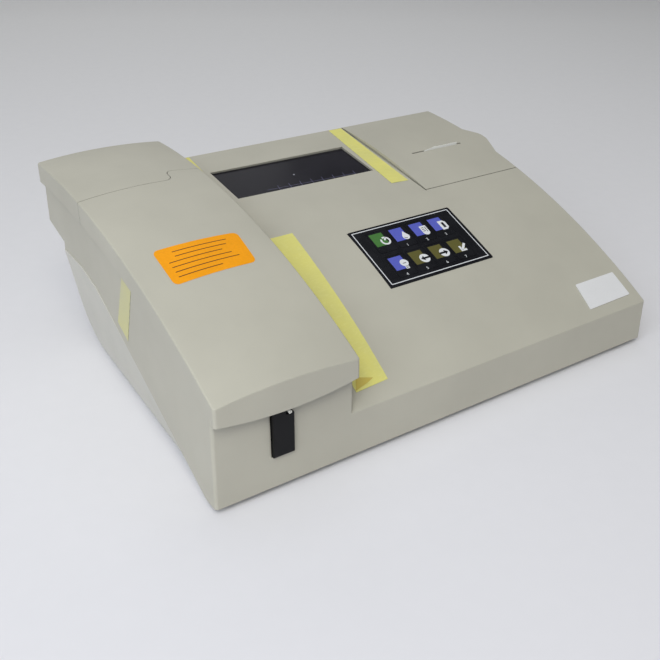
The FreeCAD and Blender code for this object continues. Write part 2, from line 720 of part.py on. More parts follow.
def belly_walls():
    """The lower shell before its posts and holes, with a thin toe inside the housing's front."""
    front = CREASE_FRONT_Y + 3.0
    outer = belly_form(front, BELLY_REAR, 0.0, 0.0)
    side = WALL + 2 * FIT
    toe = box(side, WIDTH - side, side, front + 1, 0, WALL)
    return joined([outer.cut(belly_form(front + 8, BELLY_REAR - WALL, WALL, 30.0)), toe])


def lower_shell():
    shell = belly_walls()
    floor = WALL
    pegs = []
    for x, y in SCREW_PLACES:
        pegs.append(rod_z(POST_R + 0.5, floor - 0.5, POST_FOOT, x, y))
    for x, y in board_posts():
        pegs.append(rod_z(3.0, floor - 0.5, BENCH_Z, x, y))
    for x, y in printer_posts():
        pegs.append(rod_z(4.0, floor - 0.5, PRINTER_FLOOR, x, y))
    for x, y in bench_posts():
        pegs.append(rod_z(4.0, floor - 0.5, BENCH_Z, x, y))
    shell = joined([shell] + pegs)
    for x, y in SCREW_PLACES:
        shell = shell.cut(rod_z(SCREW_R, -1, POST_FOOT + 1, x, y))
    for hole in rear_holes():
        shell = shell.cut(hole)
    return shell


def feet():
    made = []
    for x, y in FOOT_PLACES:
        foot = Part.makeCone(FOOT_R - 1.2, FOOT_R, FOOT, at(x, y, -FOOT))
        made.append(foot.cut(rod_z(3.6, -FOOT, -FOOT + 2.2, x, y)))
    return Part.makeCompound(made)


def screws():
    made = []
    for x, y in SCREW_PLACES:
        screw = rod_z(SCREW_R, -0.2, POST_FOOT + 10, x, y).fuse(rod_z(3.2, -2.0, 0.0, x, y))
        slot = box(x - 3.5, x + 3.5, y - 0.4, y + 0.4, -2.1, -1.2)
        made.append(screw.cut(slot))
    return Part.makeCompound(made)


def glass_window():
    v0 = PANEL.along(SCREEN_Y)
    m = GLASS_MARGIN
    top = GLASS_REBATE - WALL
    return PANEL.set(box(SCREEN_X - m, SCREEN_X + SCREEN_WIDTH + m, v0 - m, v0 + SCREEN_LENGTH + m,
                         top - GLASS, top))


def lcd_module():
    v0 = PANEL.along(SCREEN_Y)
    m = GLASS_MARGIN - 1.0
    top = GLASS_REBATE - WALL - GLASS
    body = box(SCREEN_X - m, SCREEN_X + SCREEN_WIDTH + m, v0 - m, v0 + SCREEN_LENGTH + m,
               top - LCD_DEPTH, top)
    board = box(SCREEN_X - m, SCREEN_X + SCREEN_WIDTH + m, v0 - m - 4, v0 + SCREEN_LENGTH + m + 4,
                top - LCD_DEPTH - BOARD, top - LCD_DEPTH)
    return PANEL.set(joined([body, board]))


def key_centres():
    """Middle of each key on the keypad's face, front row last."""
    places = []
    for row in reversed(range(KEY_ROWS)):
        for column in range(KEY_COLUMNS):
            places.append((KEYPAD_X + KEY_LEFT + KEY_PITCH * column, KEY_FRONT + KEY_ROW_PITCH * row))
    return places


def key_block(u, v, grow, low, high):
    """Block over a key's outline, grown by the given amount on all sides."""
    across, along = KEY_WIDTH / 2 + grow, KEY_LENGTH / 2 + grow
    return plate(u - across, u + across, v - along, v + along, low, high, KEY_ROUND + grow)


def keypad_overlay():
    low, high = OVERLAY_PROUD - OVERLAY, OVERLAY_PROUD
    edge = 0.1
    face = plate(KEYPAD_X + edge, KEYPAD_X + KEYPAD_WIDTH - edge, edge, KEYPAD_LENGTH - edge,
                 low, high, KEY_ROUND)
    for u, v in key_centres():
        face = face.cut(key_block(u, v, KEY_GAP, low - 1, high + 1))
    return KEYS.set(face)


def key(u, v):
    under = OVERLAY_PROUD - OVERLAY - KEY_GAP
    cap = key_block(u, v, 0.0, under - 0.1, OVERLAY_PROUD)
    flange = key_block(u, v, KEY_FLANGE, under - KEY_FLANGE, under)
    return KEYS.set(joined([cap, flange]))


def keypad_board():
    """Board with a raised switch under each key, held to the frame by corner spacers."""
    under = OVERLAY_PROUD - OVERLAY - KEY_GAP - KEY_FLANGE
    top = under - KEY_TRAVEL - KEY_GAP - 0.6
    frame_low = OVERLAY_PROUD - OVERLAY - 2.2
    board = box(KEYPAD_X - 2, KEYPAD_X + KEYPAD_WIDTH + 2, -2, KEYPAD_LENGTH + 2, top - BOARD, top)
    pieces = [board]
    for u, v in key_centres():
        pieces.append(rod_z(3.0, top - 0.1, top + 0.6, u, v))
    for u in (KEYPAD_X + 0.5, KEYPAD_X + KEYPAD_WIDTH - 0.5):
        for v in (0.5, KEYPAD_LENGTH - 0.5):
            pieces.append(rod_z(1.8, top - 0.1, frame_low, u, v))
    return KEYS.set(joined(pieces))


def board_posts():
    """Posts under the main board, then those under the power supply."""
    main = [(x, y) for x in (POD + 20, PRINTER_X - 22) for y in (80.0, BELLY_REAR - 37)]
    supply = [(x, y) for x in (PRINTER_X + 15, WIDTH - 30) for y in (55.0, 140.0)]
    return main + supply


def main_board():
    """Board with its processor, a driver chip, a ribbon socket and three capacitors."""
    top = BENCH_Z + BOARD
    x0, x1, y0, y1 = POD + 13, PRINTER_X - 15, 72.0, BELLY_REAR - 29
    pieces = [box(x0, x1, y0, y1, BENCH_Z, top)]
    pieces.append(box(x0 + 52, x0 + 82, y0 + 48, y0 + 78, top - 0.1, top + 3.5))
    pieces.append(box(x1 - 40, x1 - 10, y0 + 28, y0 + 40, top - 0.1, top + 4))
    pieces.append(box(x0 + 17, x0 + 57, y1 - 33, y1 - 25, top - 0.1, top + 9))
    for i in range(3):
        pieces.append(rod_z(5.0, top - 0.1, top + 16, x1 - 40 + 14 * i, y1 - 23))
    return joined(pieces)


def power_supply():
    x0, x1, y0, y1 = PRINTER_X + 8, WIDTH - 22, 47.0, 148.0
    base = box(x0, x1, y0, y1, BENCH_Z, BENCH_Z + BOARD)
    case = box(x0 + 2, x1 - 2, y0 + 3, y1 - 3, BENCH_Z + 1, BENCH_Z + 32)
    return joined([base, case])


def bench_posts():
    corners = [(x, y) for x in (24.0, 60.0) for y in (64.0, FILTER_Y - 10)]
    return corners + [(40.0, FILTER_Y + 15)]


def optical_bench():
    """Base plate of the optics, with saddles for the lens tube and the filter motor."""
    top = BENCH_Z + BENCH
    pieces = [box(16, 68, 58, FILTER_Y + 26, BENCH_Z, top)]
    for y in (CELL_Y + CELL / 2 + 7, FILTER_Y - 18):
        pieces.append(box(OPTIC_X - 10, OPTIC_X + 10, y, y + 6, top - 0.1, OPTIC_Z))
    pieces.append(box(motor_x() - 8, motor_x() + 8, FILTER_Y + 12, FILTER_Y + 24, top - 0.1, OPTIC_Z))
    bench = joined(pieces)
    bench = bench.cut(rod_y(8.0, CELL_Y, FILTER_Y - 5, OPTIC_X, OPTIC_Z))
    return bench.cut(rod_y(11.0, FILTER_Y + 8, FILTER_Y + 40, motor_x(), OPTIC_Z))


def motor_x():
    """The filter wheel's axis, one orbit beside the optical line."""
    return OPTIC_X + FILTER_ORBIT


def cell_block():
    half = CELL / 2
    block = box(OPTIC_X - half, OPTIC_X + half, CELL_Y - half, CELL_Y + half, BENCH_Z + BENCH, CELL_TOP)
    w = CUVETTE / 2
    well = box(OPTIC_X - w, OPTIC_X + w, CELL_Y - w, CELL_Y + w, CELL_TOP - CUVETTE_DEPTH, CELL_TOP + 1)
    block = block.cut(well)
    return block.cut(rod_y(2.5, CELL_Y - 20, CELL_Y + 20, OPTIC_X, OPTIC_Z))


def detector_board():
    y1 = CELL_Y - CELL / 2
    sensor = rod_y(4.0, y1 - 3.0, y1, OPTIC_X, OPTIC_Z)
    board = box(OPTIC_X - 14, OPTIC_X + 14, y1 - 3 - BOARD, y1 - 3, BENCH_Z + BENCH, OPTIC_Z + 12)
    return joined([sensor, board])


def lens_tube():
    y0 = CELL_Y + CELL / 2
    tube = rod_y(8.0, y0, FILTER_Y - 6, OPTIC_X, OPTIC_Z)
    tube = tube.cut(rod_y(6.0, y0 + 5, FILTER_Y, OPTIC_X, OPTIC_Z))
    return tube.cut(rod_y(2.5, y0 - 1, y0 + 6, OPTIC_X, OPTIC_Z))


def filter_wheel():
    wheel = rod_y(FILTER_WHEEL_R, FILTER_Y, FILTER_Y + 4, motor_x(), OPTIC_Z)
    wheel = wheel.fuse(rod_y(5.0, FILTER_Y - 2, FILTER_Y + 7, motor_x(), OPTIC_Z))
    for x, z in filter_places():
        wheel = wheel.cut(rod_y(FILTER_R, FILTER_Y - 1, FILTER_Y + 5, x, z))
    return wheel.cut(rod_y(1.5, FILTER_Y - 3, FILTER_Y + 8, motor_x(), OPTIC_Z))


def filter_places():
    places = []
    for i in range(FILTERS):
        angle = math.pi + 2 * math.pi * i / FILTERS
        places.append((motor_x() + FILTER_ORBIT * math.cos(angle), OPTIC_Z + FILTER_ORBIT * math.sin(angle)))
    return places


def filter_glasses():
    glasses = [rod_y(FILTER_R, FILTER_Y + 0.5, FILTER_Y + 3.5, x, z) for x, z in filter_places()]
    return Part.makeCompound(glasses)


def filter_motor():
    y0 = FILTER_Y + 9
    can = rod_y(11.0, y0, y0 + 22, motor_x(), OPTIC_Z)
    shaft = rod_y(1.45, FILTER_Y - 2, y0 + 1, motor_x(), OPTIC_Z)
    return joined([can, shaft])


def lamp_housing():
    """Finned case of the halogen lamp, open towards the filter wheel and at the top."""
    y0, y1 = FILTER_Y + 9, LAMP_BACK
    case = box(OPTIC_X - 15, OPTIC_X + 8, y0, y1, BENCH_Z + BENCH, OPTIC_Z + 22)
    case = case.cut(box(OPTIC_X - 10, OPTIC_X + 6, y0 + 3, y1 - 8, BENCH_Z + BENCH + 8, OPTIC_Z + 30))
    case = case.cut(rod_y(3.0, y0 - 1, y0 + 5, OPTIC_X, OPTIC_Z))
    for i in range(4):
        y = y0 + 8 + 8 * i
        case = case.cut(box(OPTIC_X - 16, OPTIC_X - 13, y, y + 4, BENCH_Z + 10, OPTIC_Z + 30))
    base = box(OPTIC_X - 15, OPTIC_X + 8, FILTER_Y + 26.5, y1, BENCH_Z, BENCH_Z + BENCH)
    return joined([case, base])


def halogen_lamp():
    """Small capsule lamp in its ceramic base, standing in the lamp housing."""
    y = (FILTER_Y + LAMP_BACK) / 2 + 2
    x = OPTIC_X - 2
    base = rod_z(5.0, BENCH_Z + BENCH + 8, OPTIC_Z - 6, x, y)
    bulb = rod_z(4.0, OPTIC_Z - 6, OPTIC_Z + 6, x, y).fuse(Part.makeSphere(4.0, at(x, y, OPTIC_Z + 6)))
    return joined([base, bulb])


def compartment_tray():
    """Floor and rear wall of the sample compartment, trimmed to the inside of the pod."""
    floor = box(-20, POD + 20, -20, DECK_BACK, DECK - DECK_WALL, DECK)
    back = box(-20, POD + 20, DECK_BACK - DECK_WALL, DECK_BACK, DECK - DECK_WALL, DECK_BACK_TOP)
    tray = joined([floor, back]).common(pod_space()).cut(belly_walls())
    tray = max(tray.Solids, key=lambda solid: solid.Volume)
    blocks = []
    for x in pump_leads():
        blocks.append(box(x - 4, x + 4, PUMP_Y - 33, PUMP_Y - 27, DECK - 0.5, DECK + 12))
    blocks.append(sipper_guide())
    tray = joined([tray] + blocks)
    half = CELL / 2 + 0.2
    tray = tray.cut(box(OPTIC_X - half, OPTIC_X + half, CELL_Y - half, CELL_Y + half, 0, DECK + 1))
    tray = tray.cut(rod_z(7.0, DECK - 5, DECK + 1, PUMP_X, PUMP_Y))
    x0, x1 = bracket_sides()
    return tray.cut(box(x0 - 0.2, x1 + 0.2, -20, 18.2, 0, DECK + 1))


def pump_leads():
    orbit = TRACK_R - TUBE_R - 0.2
    return (PUMP_X - orbit, PUMP_X + orbit)


def pump_head():
    """Curved track of the peristaltic pump on its base."""
    outer = TRACK_R + TRACK_WALL
    base = plate(PUMP_X - outer, PUMP_X + outer, PUMP_Y - outer, PUMP_Y + outer, DECK, DECK + 3, 4)
    ring = rod_z(outer, DECK + 2.9, DECK + PUMP_HEIGHT, PUMP_X, PUMP_Y)
    head = joined([base, ring])
    head = head.cut(rod_z(TRACK_R, DECK + 3, DECK + FAR, PUMP_X, PUMP_Y))
    head = head.cut(box(PUMP_X - TRACK_R, PUMP_X + TRACK_R, PUMP_Y - 40, PUMP_Y - 2, DECK + 3, DECK + 40))
    return head.cut(rod_z(7.0, DECK - 5, DECK + 4, PUMP_X, PUMP_Y))


def pump_motor():
    can = rod_z(16.0, DECK - DECK_WALL - 32, DECK - DECK_WALL, PUMP_X, PUMP_Y)
    collar = rod_z(6.6, DECK - DECK_WALL - 0.1, DECK + 2.5, PUMP_X, PUMP_Y)
    shaft = rod_z(SHAFT_R - PIN_CLEAR, DECK, DECK + PUMP_HEIGHT - 2, PUMP_X, PUMP_Y)
    return joined([can, collar, shaft])


def roller_places():
    places = []
    for i in range(ROLLERS):
        angle = math.pi / 2 + 2 * math.pi * i / ROLLERS
        places.append((PUMP_X + ROLLER_ORBIT * math.cos(angle), PUMP_Y + ROLLER_ORBIT * math.sin(angle)))
    return places


def pump_rotor():
    """Two discs and a hub on the motor's shaft, with a pin for each roller."""
    low, high = DECK + 3.3, DECK + PUMP_HEIGHT
    lower = rod_z(ROTOR_R, low, low + 1.8, PUMP_X, PUMP_Y)
    upper = rod_z(ROTOR_R, high - 1.8, high, PUMP_X, PUMP_Y)
    hub = rod_z(5.0, low, high, PUMP_X, PUMP_Y)
    pins = [rod_z(1.2, low, high, x, y) for x, y in roller_places()]
    rotor = joined([lower, upper, hub] + pins)
    rotor = rotor.cut(rod_z(SHAFT_R, low - 1, high - 2, PUMP_X, PUMP_Y))
    grip = box(PUMP_X - 4, PUMP_X + 4, PUMP_Y - 0.7, PUMP_Y + 0.7, high - 1.2, high + 1)
    return rotor.cut(grip)


def roller(x, y):
    low, high = DECK + 3.3 + 1.8 + 0.2, DECK + PUMP_HEIGHT - 1.8 - 0.2
    body = rod_z(ROLLER_R, low, high, x, y)
    return body.cut(rod_z(1.2 + PIN_CLEAR, low - 1, high + 1, x, y))


def pump_tube():
    """Tube held in the track, its two ends in the tray's clips."""
    z = DECK + PUMP_HEIGHT / 2 + 1
    left, right = pump_leads()
    end = PUMP_Y - 27
    radius = (right - left) / 2
    line = Part.makeLine(at(left, end, z), at(left, PUMP_Y, z))
    turn = Part.Arc(at(left, PUMP_Y, z), at(PUMP_X, PUMP_Y + radius, z), at(right, PUMP_Y, z)).toShape()
    back = Part.makeLine(at(right, PUMP_Y, z), at(right, end, z))
    path = Part.Wire([line, turn, back])
    section = Part.Wire(Part.makeCircle(TUBE_R, at(left, end, z), Y))
    return path.makePipeShell([section], True, False)


def nozzle_line():
    """Tip of the nozzle, and the way from there to its inner end."""
    x = TRIGGER_X + TRIGGER_WIDTH - NOZZLE_NOTCH + FIT + TUBE_R
    return at(x, -NOZZLE_OUT, SEAM_FRONT - SMILE - 3.4), at(0, NOZZLE_OUT + 22.0, NOZZLE_TILT)


def sipper_nozzle():
    """White nozzle that stands out beside the trigger, with its bore."""
    start, along = nozzle_line()
    tube = rod(TUBE_R, start, along, along.Length)
    return tube.cut(rod(TUBE_R / 2, start, along, 5.0))


def sipper_guide():
    """Block on the tray that holds the nozzle's inner end."""
    start, along = nozzle_line()
    end = start + along
    block = plate(end.x - 5, end.x + 5, end.y - 2, end.y + 10, DECK - 0.5, end.z + 5, 1.5)
    return block.cut(rod(TUBE_R, start, along, along.Length))


def sample_tube():
    """Thin tube from the nozzle's guide to the cell block."""
    start, along = nozzle_line()
    x = start.x
    y = start.y + along.y + 10
    z = DECK + 6.0
    face = OPTIC_X + CELL / 2
    radius = x - face
    bend = CELL_Y - radius
    line = Part.makeLine(at(x, y, z), at(x, bend, z))
    middle = at(face + radius * math.cos(math.pi / 4), bend + radius * math.sin(math.pi / 4), z)
    turn = Part.Arc(at(x, bend, z), middle, at(face, CELL_Y, z)).toShape()
    section = Part.Wire(Part.makeCircle(TUBE_R, at(x, y, z), Y))
    return Part.Wire([line, turn]).makePipeShell([section], True, False)


def bracket_sides():
    return (TRIGGER_X - EAR_GAP - EAR, TRIGGER_X + TRIGGER_WIDTH + EAR_GAP + EAR)


def trigger_plate():
    """Black paddle on a pivot behind its upper end."""
    x0, x1 = TRIGGER_X, TRIGGER_X + TRIGGER_WIDTH
    front = -TRIGGER_PROUD
    inner = front + TRIGGER_PLATE
    outline = [(front, TRIGGER_LOW), (inner, TRIGGER_LOW), (inner, TRIGGER_HIGH), (front, TRIGGER_HIGH)]
    paddle = side_prism(outline, [1.0, 0.4, 0.4, 1.0], x0, x1)
    notch = box(x1 - NOZZLE_NOTCH, x1 + 1, front - 5, inner + 5, TRIGGER_PIVOT_Z - 8.5, FAR)
    side = x1 - NOZZLE_NOTCH - FIT
    arm = box(x0, side, inner - 0.5, TRIGGER_PIVOT_Y, TRIGGER_PIVOT_Z - 2.5, TRIGGER_HIGH)
    hub = rod_x(2 * TRIGGER_PIN, x0, side, TRIGGER_PIVOT_Y, TRIGGER_PIVOT_Z)
    left, right = bracket_sides()
    pin = rod_x(TRIGGER_PIN, left + FIT, right - FIT, TRIGGER_PIVOT_Y, TRIGGER_PIVOT_Z)
    return joined([paddle.cut(notch), arm, hub, pin])


def trigger_bracket():
    """Bracket behind the front wall: two ears for the paddle's pivot and a back plate for the switch."""
    x0, x1 = bracket_sides()
    left = box(x0, x0 + EAR, WALL, 18, 28, TRIGGER_PIVOT_Z + 4)
    right = box(x1 - EAR, x1, WALL, 18, 28, TRIGGER_PIVOT_Z + 4)
    back = box(x0, x1, 16, 18, 28, 52)
    bracket = joined([left, right, back])
    bracket = bracket.cut(rod_x(TRIGGER_PIN + PIN_CLEAR, x0 - 1, x1 + 1, TRIGGER_PIVOT_Y, TRIGGER_PIVOT_Z))
    return bracket.common(pod_space())


def trigger_switch():
    x = TRIGGER_X + TRIGGER_WIDTH / 2
    body = box(x - 3.2, x + 3.2, 7.5, 16, 30, 44)
    button = box(x - 1.4, x + 1.4, 3.1, 7.6, 33, 36)
    return joined([body, button])


def cheek_places():
    return (PAPER_X - 2.0 - CHEEK, PAPER_X + PAPER + 2.0)


def cheek(x):
    """Side plate of the printer frame, with an arm that carries the lid's hinge pin."""
    top = PRINTER_HINGE_Z - 5.5
    back = BELLY_REAR - WALL - 1
    outline = [(CHEEK_FRONT, PRINTER_FLOOR), (back, PRINTER_FLOOR), (back, PRINTER_HINGE_Z - 17),
               (PRINTER_HINGE_Y - 13, PRINTER_HINGE_Z - 7.5), (PRINTER_HINGE_Y - 9.8, PRINTER_HINGE_Z - 4.4),
               (PRINTER_HINGE_Y - 2, PRINTER_HINGE_Z - 3), (PRINTER_HINGE_Y - 3, PRINTER_HINGE_Z + 2.5),
               (BELLY_REAR - 7, top), (SLOT_Y + 9, PLATEN_Z + 5), (CHEEK_FRONT, PLATEN_Z - 6)]
    side = side_prism(outline, [0, 0, 4, 0, 0, 0, 0, 0, 0, 4], x, x + CHEEK)
    boss = rod_x(3.4, x, x + CHEEK, PRINTER_HINGE_Y, PRINTER_HINGE_Z)
    return side.fuse(boss)


def printer_frame():
    left, right = cheek_places()
    floor = box(left, right + CHEEK, CHEEK_FRONT, BELLY_REAR - WALL - 1, PRINTER_FLOOR, PRINTER_FLOOR + 2)
    frame = joined([cheek(left), cheek(right), floor])
    x0, x1 = left - 1, right + CHEEK + 1
    frame = frame.cut(rod_x(2.0 + PIN_CLEAR, x0, x1, SLOT_Y, PLATEN_Z))
    frame = frame.cut(rod_x(2.0 + PIN_CLEAR, right - 1, x1, *idler_axis()))
    frame = frame.cut(rod_x(1.6, right - 1, x1, *pinion_axis()))
    frame = frame.cut(rod_x(1.5, x0, x1, PRINTER_HINGE_Y, PRINTER_HINGE_Z))
    return frame.cut(rod_x(3.0 + PIN_CLEAR, x0, x1, ROLL_Y, ROLL_Z))


def printer_posts():
    left, right = cheek_places()
    return [(x, y) for x in (left + 6, right - 4) for y in (CHEEK_FRONT + 8, BELLY_REAR - 19)]


def idler_axis():
    """The idler meshes with the platen's gear from below."""
    reach = MODULE * (PLATEN_TEETH + IDLER_TEETH) / 2
    angle = math.radians(-100)
    return (SLOT_Y + reach * math.cos(angle), PLATEN_Z + reach * math.sin(angle))


def pinion_axis():
    reach = MODULE * (IDLER_TEETH + PINION_TEETH) / 2
    angle = math.radians(222)
    y, z = idler_axis()
    return (y + reach * math.cos(angle), z + reach * math.sin(angle))


def gear(teeth, turn, x, y, z):
    """Spur gear along x with straight-sided teeth; turn sets its first tooth, in degrees."""
    root, tip = MODULE * (teeth / 2 - 1.25), MODULE * (teeth / 2 + 0.85)
    pitch = 360.0 / teeth
    points = []
    for i in range(teeth):
        middle = turn + i * pitch
        for radius, offset in ((root, -0.32), (tip, -0.11), (tip, 0.11), (root, 0.32)):
            angle = math.radians(middle + offset * pitch)
            points.append(at(x, y + radius * math.cos(angle), z + radius * math.sin(angle)))
    return Part.Face(Part.makePolygon(points + [points[0]])).extrude(X * GEAR)


def gear_x():
    return cheek_places()[1] + CHEEK + FIT


def mesh_turn(teeth, own_axis, other_axis, other_teeth, other_turn):
    """Angle that puts a gap of this gear on a tooth line of the other."""
    dy, dz = other_axis[0] - own_axis[0], other_axis[1] - own_axis[1]
    towards = math.degrees(math.atan2(dz, dy))
    phase = ((towards + 180 - other_turn) / (360.0 / other_teeth)) % 1.0
    return towards + (0.5 + phase) * 360.0 / teeth


def platen():
    left, right = cheek_places()
    roll = rod_x(PLATEN_R, left + CHEEK + FIT, right - FIT, SLOT_Y, PLATEN_Z)
    shaft = rod_x(2.0, left - 1, gear_x() + GEAR, SLOT_Y, PLATEN_Z)
    return joined([roll, shaft, gear(PLATEN_TEETH, 0.0, gear_x(), SLOT_Y, PLATEN_Z)])


def idler_turn():
    return mesh_turn(IDLER_TEETH, idler_axis(), (SLOT_Y, PLATEN_Z), PLATEN_TEETH, 0.0)


def idler():
    y, z = idler_axis()
    wheel = gear(IDLER_TEETH, idler_turn(), gear_x(), y, z)
    return joined([wheel, rod_x(2.0, gear_x() - FIT - CHEEK + 0.3, gear_x() + 0.5, y, z)])


def pinion():
    y, z = pinion_axis()
    turn = mesh_turn(PINION_TEETH, (y, z), idler_axis(), IDLER_TEETH, idler_turn())
    return gear(PINION_TEETH, turn, gear_x(), y, z).cut(rod_x(1.5, 0, FAR, y, z))


def printer_motor():
    y, z = pinion_axis()
    right = cheek_places()[1]
    can = rod_x(9.0, right - 26, right, y, z)
    return joined([can, rod_x(1.45, right - 1, gear_x() + GEAR, y, z)])


def print_head():
    """Thermal head on its heat sink, between the cheeks and against the platen."""
    left, right = cheek_places()
    y1 = SLOT_Y - PLATEN_R - FIT
    sink = box(left + CHEEK, right, y1 - 4.5, y1 - 1.5, PLATEN_Z - 12, PLATEN_Z + 4)
    line = box(left + CHEEK + 2, right - 2, y1 - 1.6, y1, PLATEN_Z - 4, PLATEN_Z + 3)
    return joined([sink, line])


def paper_roll():
    """Paper on its core, with a stub axle at each end."""
    left, right = cheek_places()
    roll = rod_x(ROLL_R, PAPER_X, PAPER_X + PAPER, ROLL_Y, ROLL_Z)
    axle = rod_x(3.0, left - 0.5, right + CHEEK + 0.5, ROLL_Y, ROLL_Z)
    return joined([roll, axle])


def printer_pins():
    left, right = cheek_places()
    ears = lid_ears()
    return Part.makeCompound([rod_x(1.5, ears[0], left + CHEEK, PRINTER_HINGE_Y, PRINTER_HINGE_Z),
                              rod_x(1.5, right, ears[1] + 4.0, PRINTER_HINGE_Y, PRINTER_HINGE_Z)])


def fan_housing():
    y1 = BELLY_REAR - WALL
    half = FAN / 2
    body = box(FAN_X - half, FAN_X + half, y1 - FAN_DEPTH, y1, FAN_Z - half, FAN_Z + half)
    body = body.cut(rod_y(half - 2, y1 - FAN_DEPTH - 1, y1 + 1, FAN_X, FAN_Z))
    spokes = [rod_y(10.0, y1 - FAN_DEPTH, y1 - FAN_DEPTH + 2, FAN_X, FAN_Z)]
    for turn in (45, 165, 285):
        arm = box(0, half - 1, -1.2, 1.2, 0, 2)
        arm.rotate(at(0, 0, 0), X, 90)
        arm.rotate(at(0, 0, 0), Y, turn)
        arm.translate(at(FAN_X, y1 - FAN_DEPTH + 2, FAN_Z))
        spokes.append(arm)
    spokes.append(rod_y(1.5, y1 - FAN_DEPTH, y1 - 3, FAN_X, FAN_Z))
    return joined([body] + spokes)


def fan_rotor():
    y1 = BELLY_REAR - WALL
    y0 = y1 - FAN_DEPTH + 2.5
    hub = rod_y(9.5, y0, y1 - 1.5, FAN_X, FAN_Z)
    pieces = [hub]
    for i in range(7):
        blade = box(9.0, FAN / 2 - 2.8, -0.6, 0.6, 0, 8.5)
        blade.rotate(at(0, 0, 0), X, 118)
        blade.translate(at(0, y0 + 9.5, 0))
        blade.rotate(at(0, 0, 0), Y, i * 360 / 7)
        blade.translate(at(FAN_X, 0, FAN_Z))
        pieces.append(blade)
    rotor = joined(pieces)
    return rotor.cut(rod_y(1.5 + PIN_CLEAR, y0 - 1, y1 - 2.7, FAN_X, FAN_Z))


def mains_inlet():
    """Appliance inlet with a flange outside the wall and three blades in its cavity."""
    y1 = BELLY_REAR
    w, h = INLET_WIDTH / 2, INLET_HEIGHT / 2
    flange = box(INLET_X - w - 3, INLET_X + w + 3, y1, y1 + 2, SOCKET_Z - h - 2.5, SOCKET_Z + h + 2.5)
    body = box(INLET_X - w + 0.1, INLET_X + w - 0.1, y1 - 22, y1 + 0.1,
               SOCKET_Z - h + 0.1, SOCKET_Z + h - 0.1)
    inlet = joined([flange, body])
    cavity = box(INLET_X - w + 1.7, INLET_X + w - 1.7, y1 - 16, y1 + 3, SOCKET_Z - h + 2, SOCKET_Z + h - 2)
    pieces = [inlet.cut(cavity)]
    for dx, dz in ((-7.0, -2.0), (0.0, 2.0), (7.0, -2.0)):
        x, z = INLET_X + dx, SOCKET_Z + dz
        pieces.append(box(x - 1, x + 1, y1 - 17, y1 - 3, z - 2, z + 2))
    return joined(pieces)


def switch_frame():
    y1 = BELLY_REAR
    w, h = SWITCH_WIDTH / 2, SWITCH_HEIGHT / 2
    flange = box(SWITCH_X - w - 1.5, SWITCH_X + w + 1.5, y1, y1 + 1.5,
                 SOCKET_Z - h - 1.5, SOCKET_Z + h + 1.5)
    w, h = w - 0.1, h - 0.1
    body = box(SWITCH_X - w, SWITCH_X + w, y1 - 14, y1 + 0.1, SOCKET_Z - h, SOCKET_Z + h)
    frame = joined([flange, body])
    w, h = w - 1.1, h - 1.1
    frame = frame.cut(box(SWITCH_X - w, SWITCH_X + w, y1 - 11, y1 + 2, SOCKET_Z - h, SOCKET_Z + h))
    return frame.cut(rod_x(1.2, SWITCH_X - w - 1, SWITCH_X + w + 1, y1 - 5, SOCKET_Z))


def power_rocker():
    """Rocker, pressed in at its lower end at rest."""
    y1 = BELLY_REAR
    w, h = SWITCH_WIDTH / 2 - 1.2 - FIT, SWITCH_HEIGHT / 2 - 1.2 - 1.6
    form = side_prism([(y1 - 7, SOCKET_Z - h), (y1 + 2.2, SOCKET_Z - h), (y1 - 0.2, SOCKET_Z),
                       (y1 + 2.2, SOCKET_Z + h), (y1 - 7, SOCKET_Z + h)], [0, 0.8, 0, 0.8, 0],
                      SWITCH_X - w, SWITCH_X + w)
    pin = rod_x(1.2 - PIN_CLEAR, SWITCH_X - w - 0.9, SWITCH_X + w + 0.9, y1 - 5, SOCKET_Z)
    rocker = joined([form, pin])
    rocker.rotate(at(SWITCH_X, y1 - 5, SOCKET_Z), X, 8)
    return rocker


def serial_port():
    y1 = BELLY_REAR
    body = box(SERIAL_X - 8.8, SERIAL_X + 8.8, y1 - 12, y1 + 0.1, SOCKET_Z - 5.3, SOCKET_Z + 5.3)
    flange = box(SERIAL_X - 15.5, SERIAL_X + 15.5, y1, y1 + 0.8, SOCKET_Z - 6.2, SOCKET_Z + 6.2)
    corners = [at(SERIAL_X - 8.3, y1, SOCKET_Z + 4.1), at(SERIAL_X + 8.3, y1, SOCKET_Z + 4.1),
               at(SERIAL_X + 7.0, y1, SOCKET_Z - 4.1), at(SERIAL_X - 7.0, y1, SOCKET_Z - 4.1)]
    shroud = Part.Face(rounded(corners, [1.5] * 4)).extrude(Y * 6)
    port = joined([body, flange, shroud])
    port = port.cut(box(SERIAL_X - 6.2, SERIAL_X + 6.2, y1 + 1, y1 + 7, SOCKET_Z - 3.2, SOCKET_Z + 3.2))
    jacks = [rod_y(2.4, y1 + 0.7, y1 + 5, SERIAL_X + side * 12.5, SOCKET_Z) for side in (-1, 1)]
    return joined([port] + jacks)


def waste_fitting():
    """Barbed nipple for the waste tube."""
    y1 = BELLY_REAR
    pieces = [rod_y(WASTE_R - 0.1, y1 - 10, y1 + 0.1, WASTE_X, WASTE_Z),
              rod_y(5.5, y1, y1 + 2.5, WASTE_X, WASTE_Z),
              rod_y(2.2, y1 + 2, y1 + 16, WASTE_X, WASTE_Z)]
    for y in (y1 + 6, y1 + 11):
        pieces.append(Part.makeCone(3.0, 2.2, 4, at(WASTE_X, y, WASTE_Z), Y))
    nipple = joined(pieces)
    return nipple.cut(rod_y(1.4, y1 - 11, y1 + 17, WASTE_X, WASTE_Z))


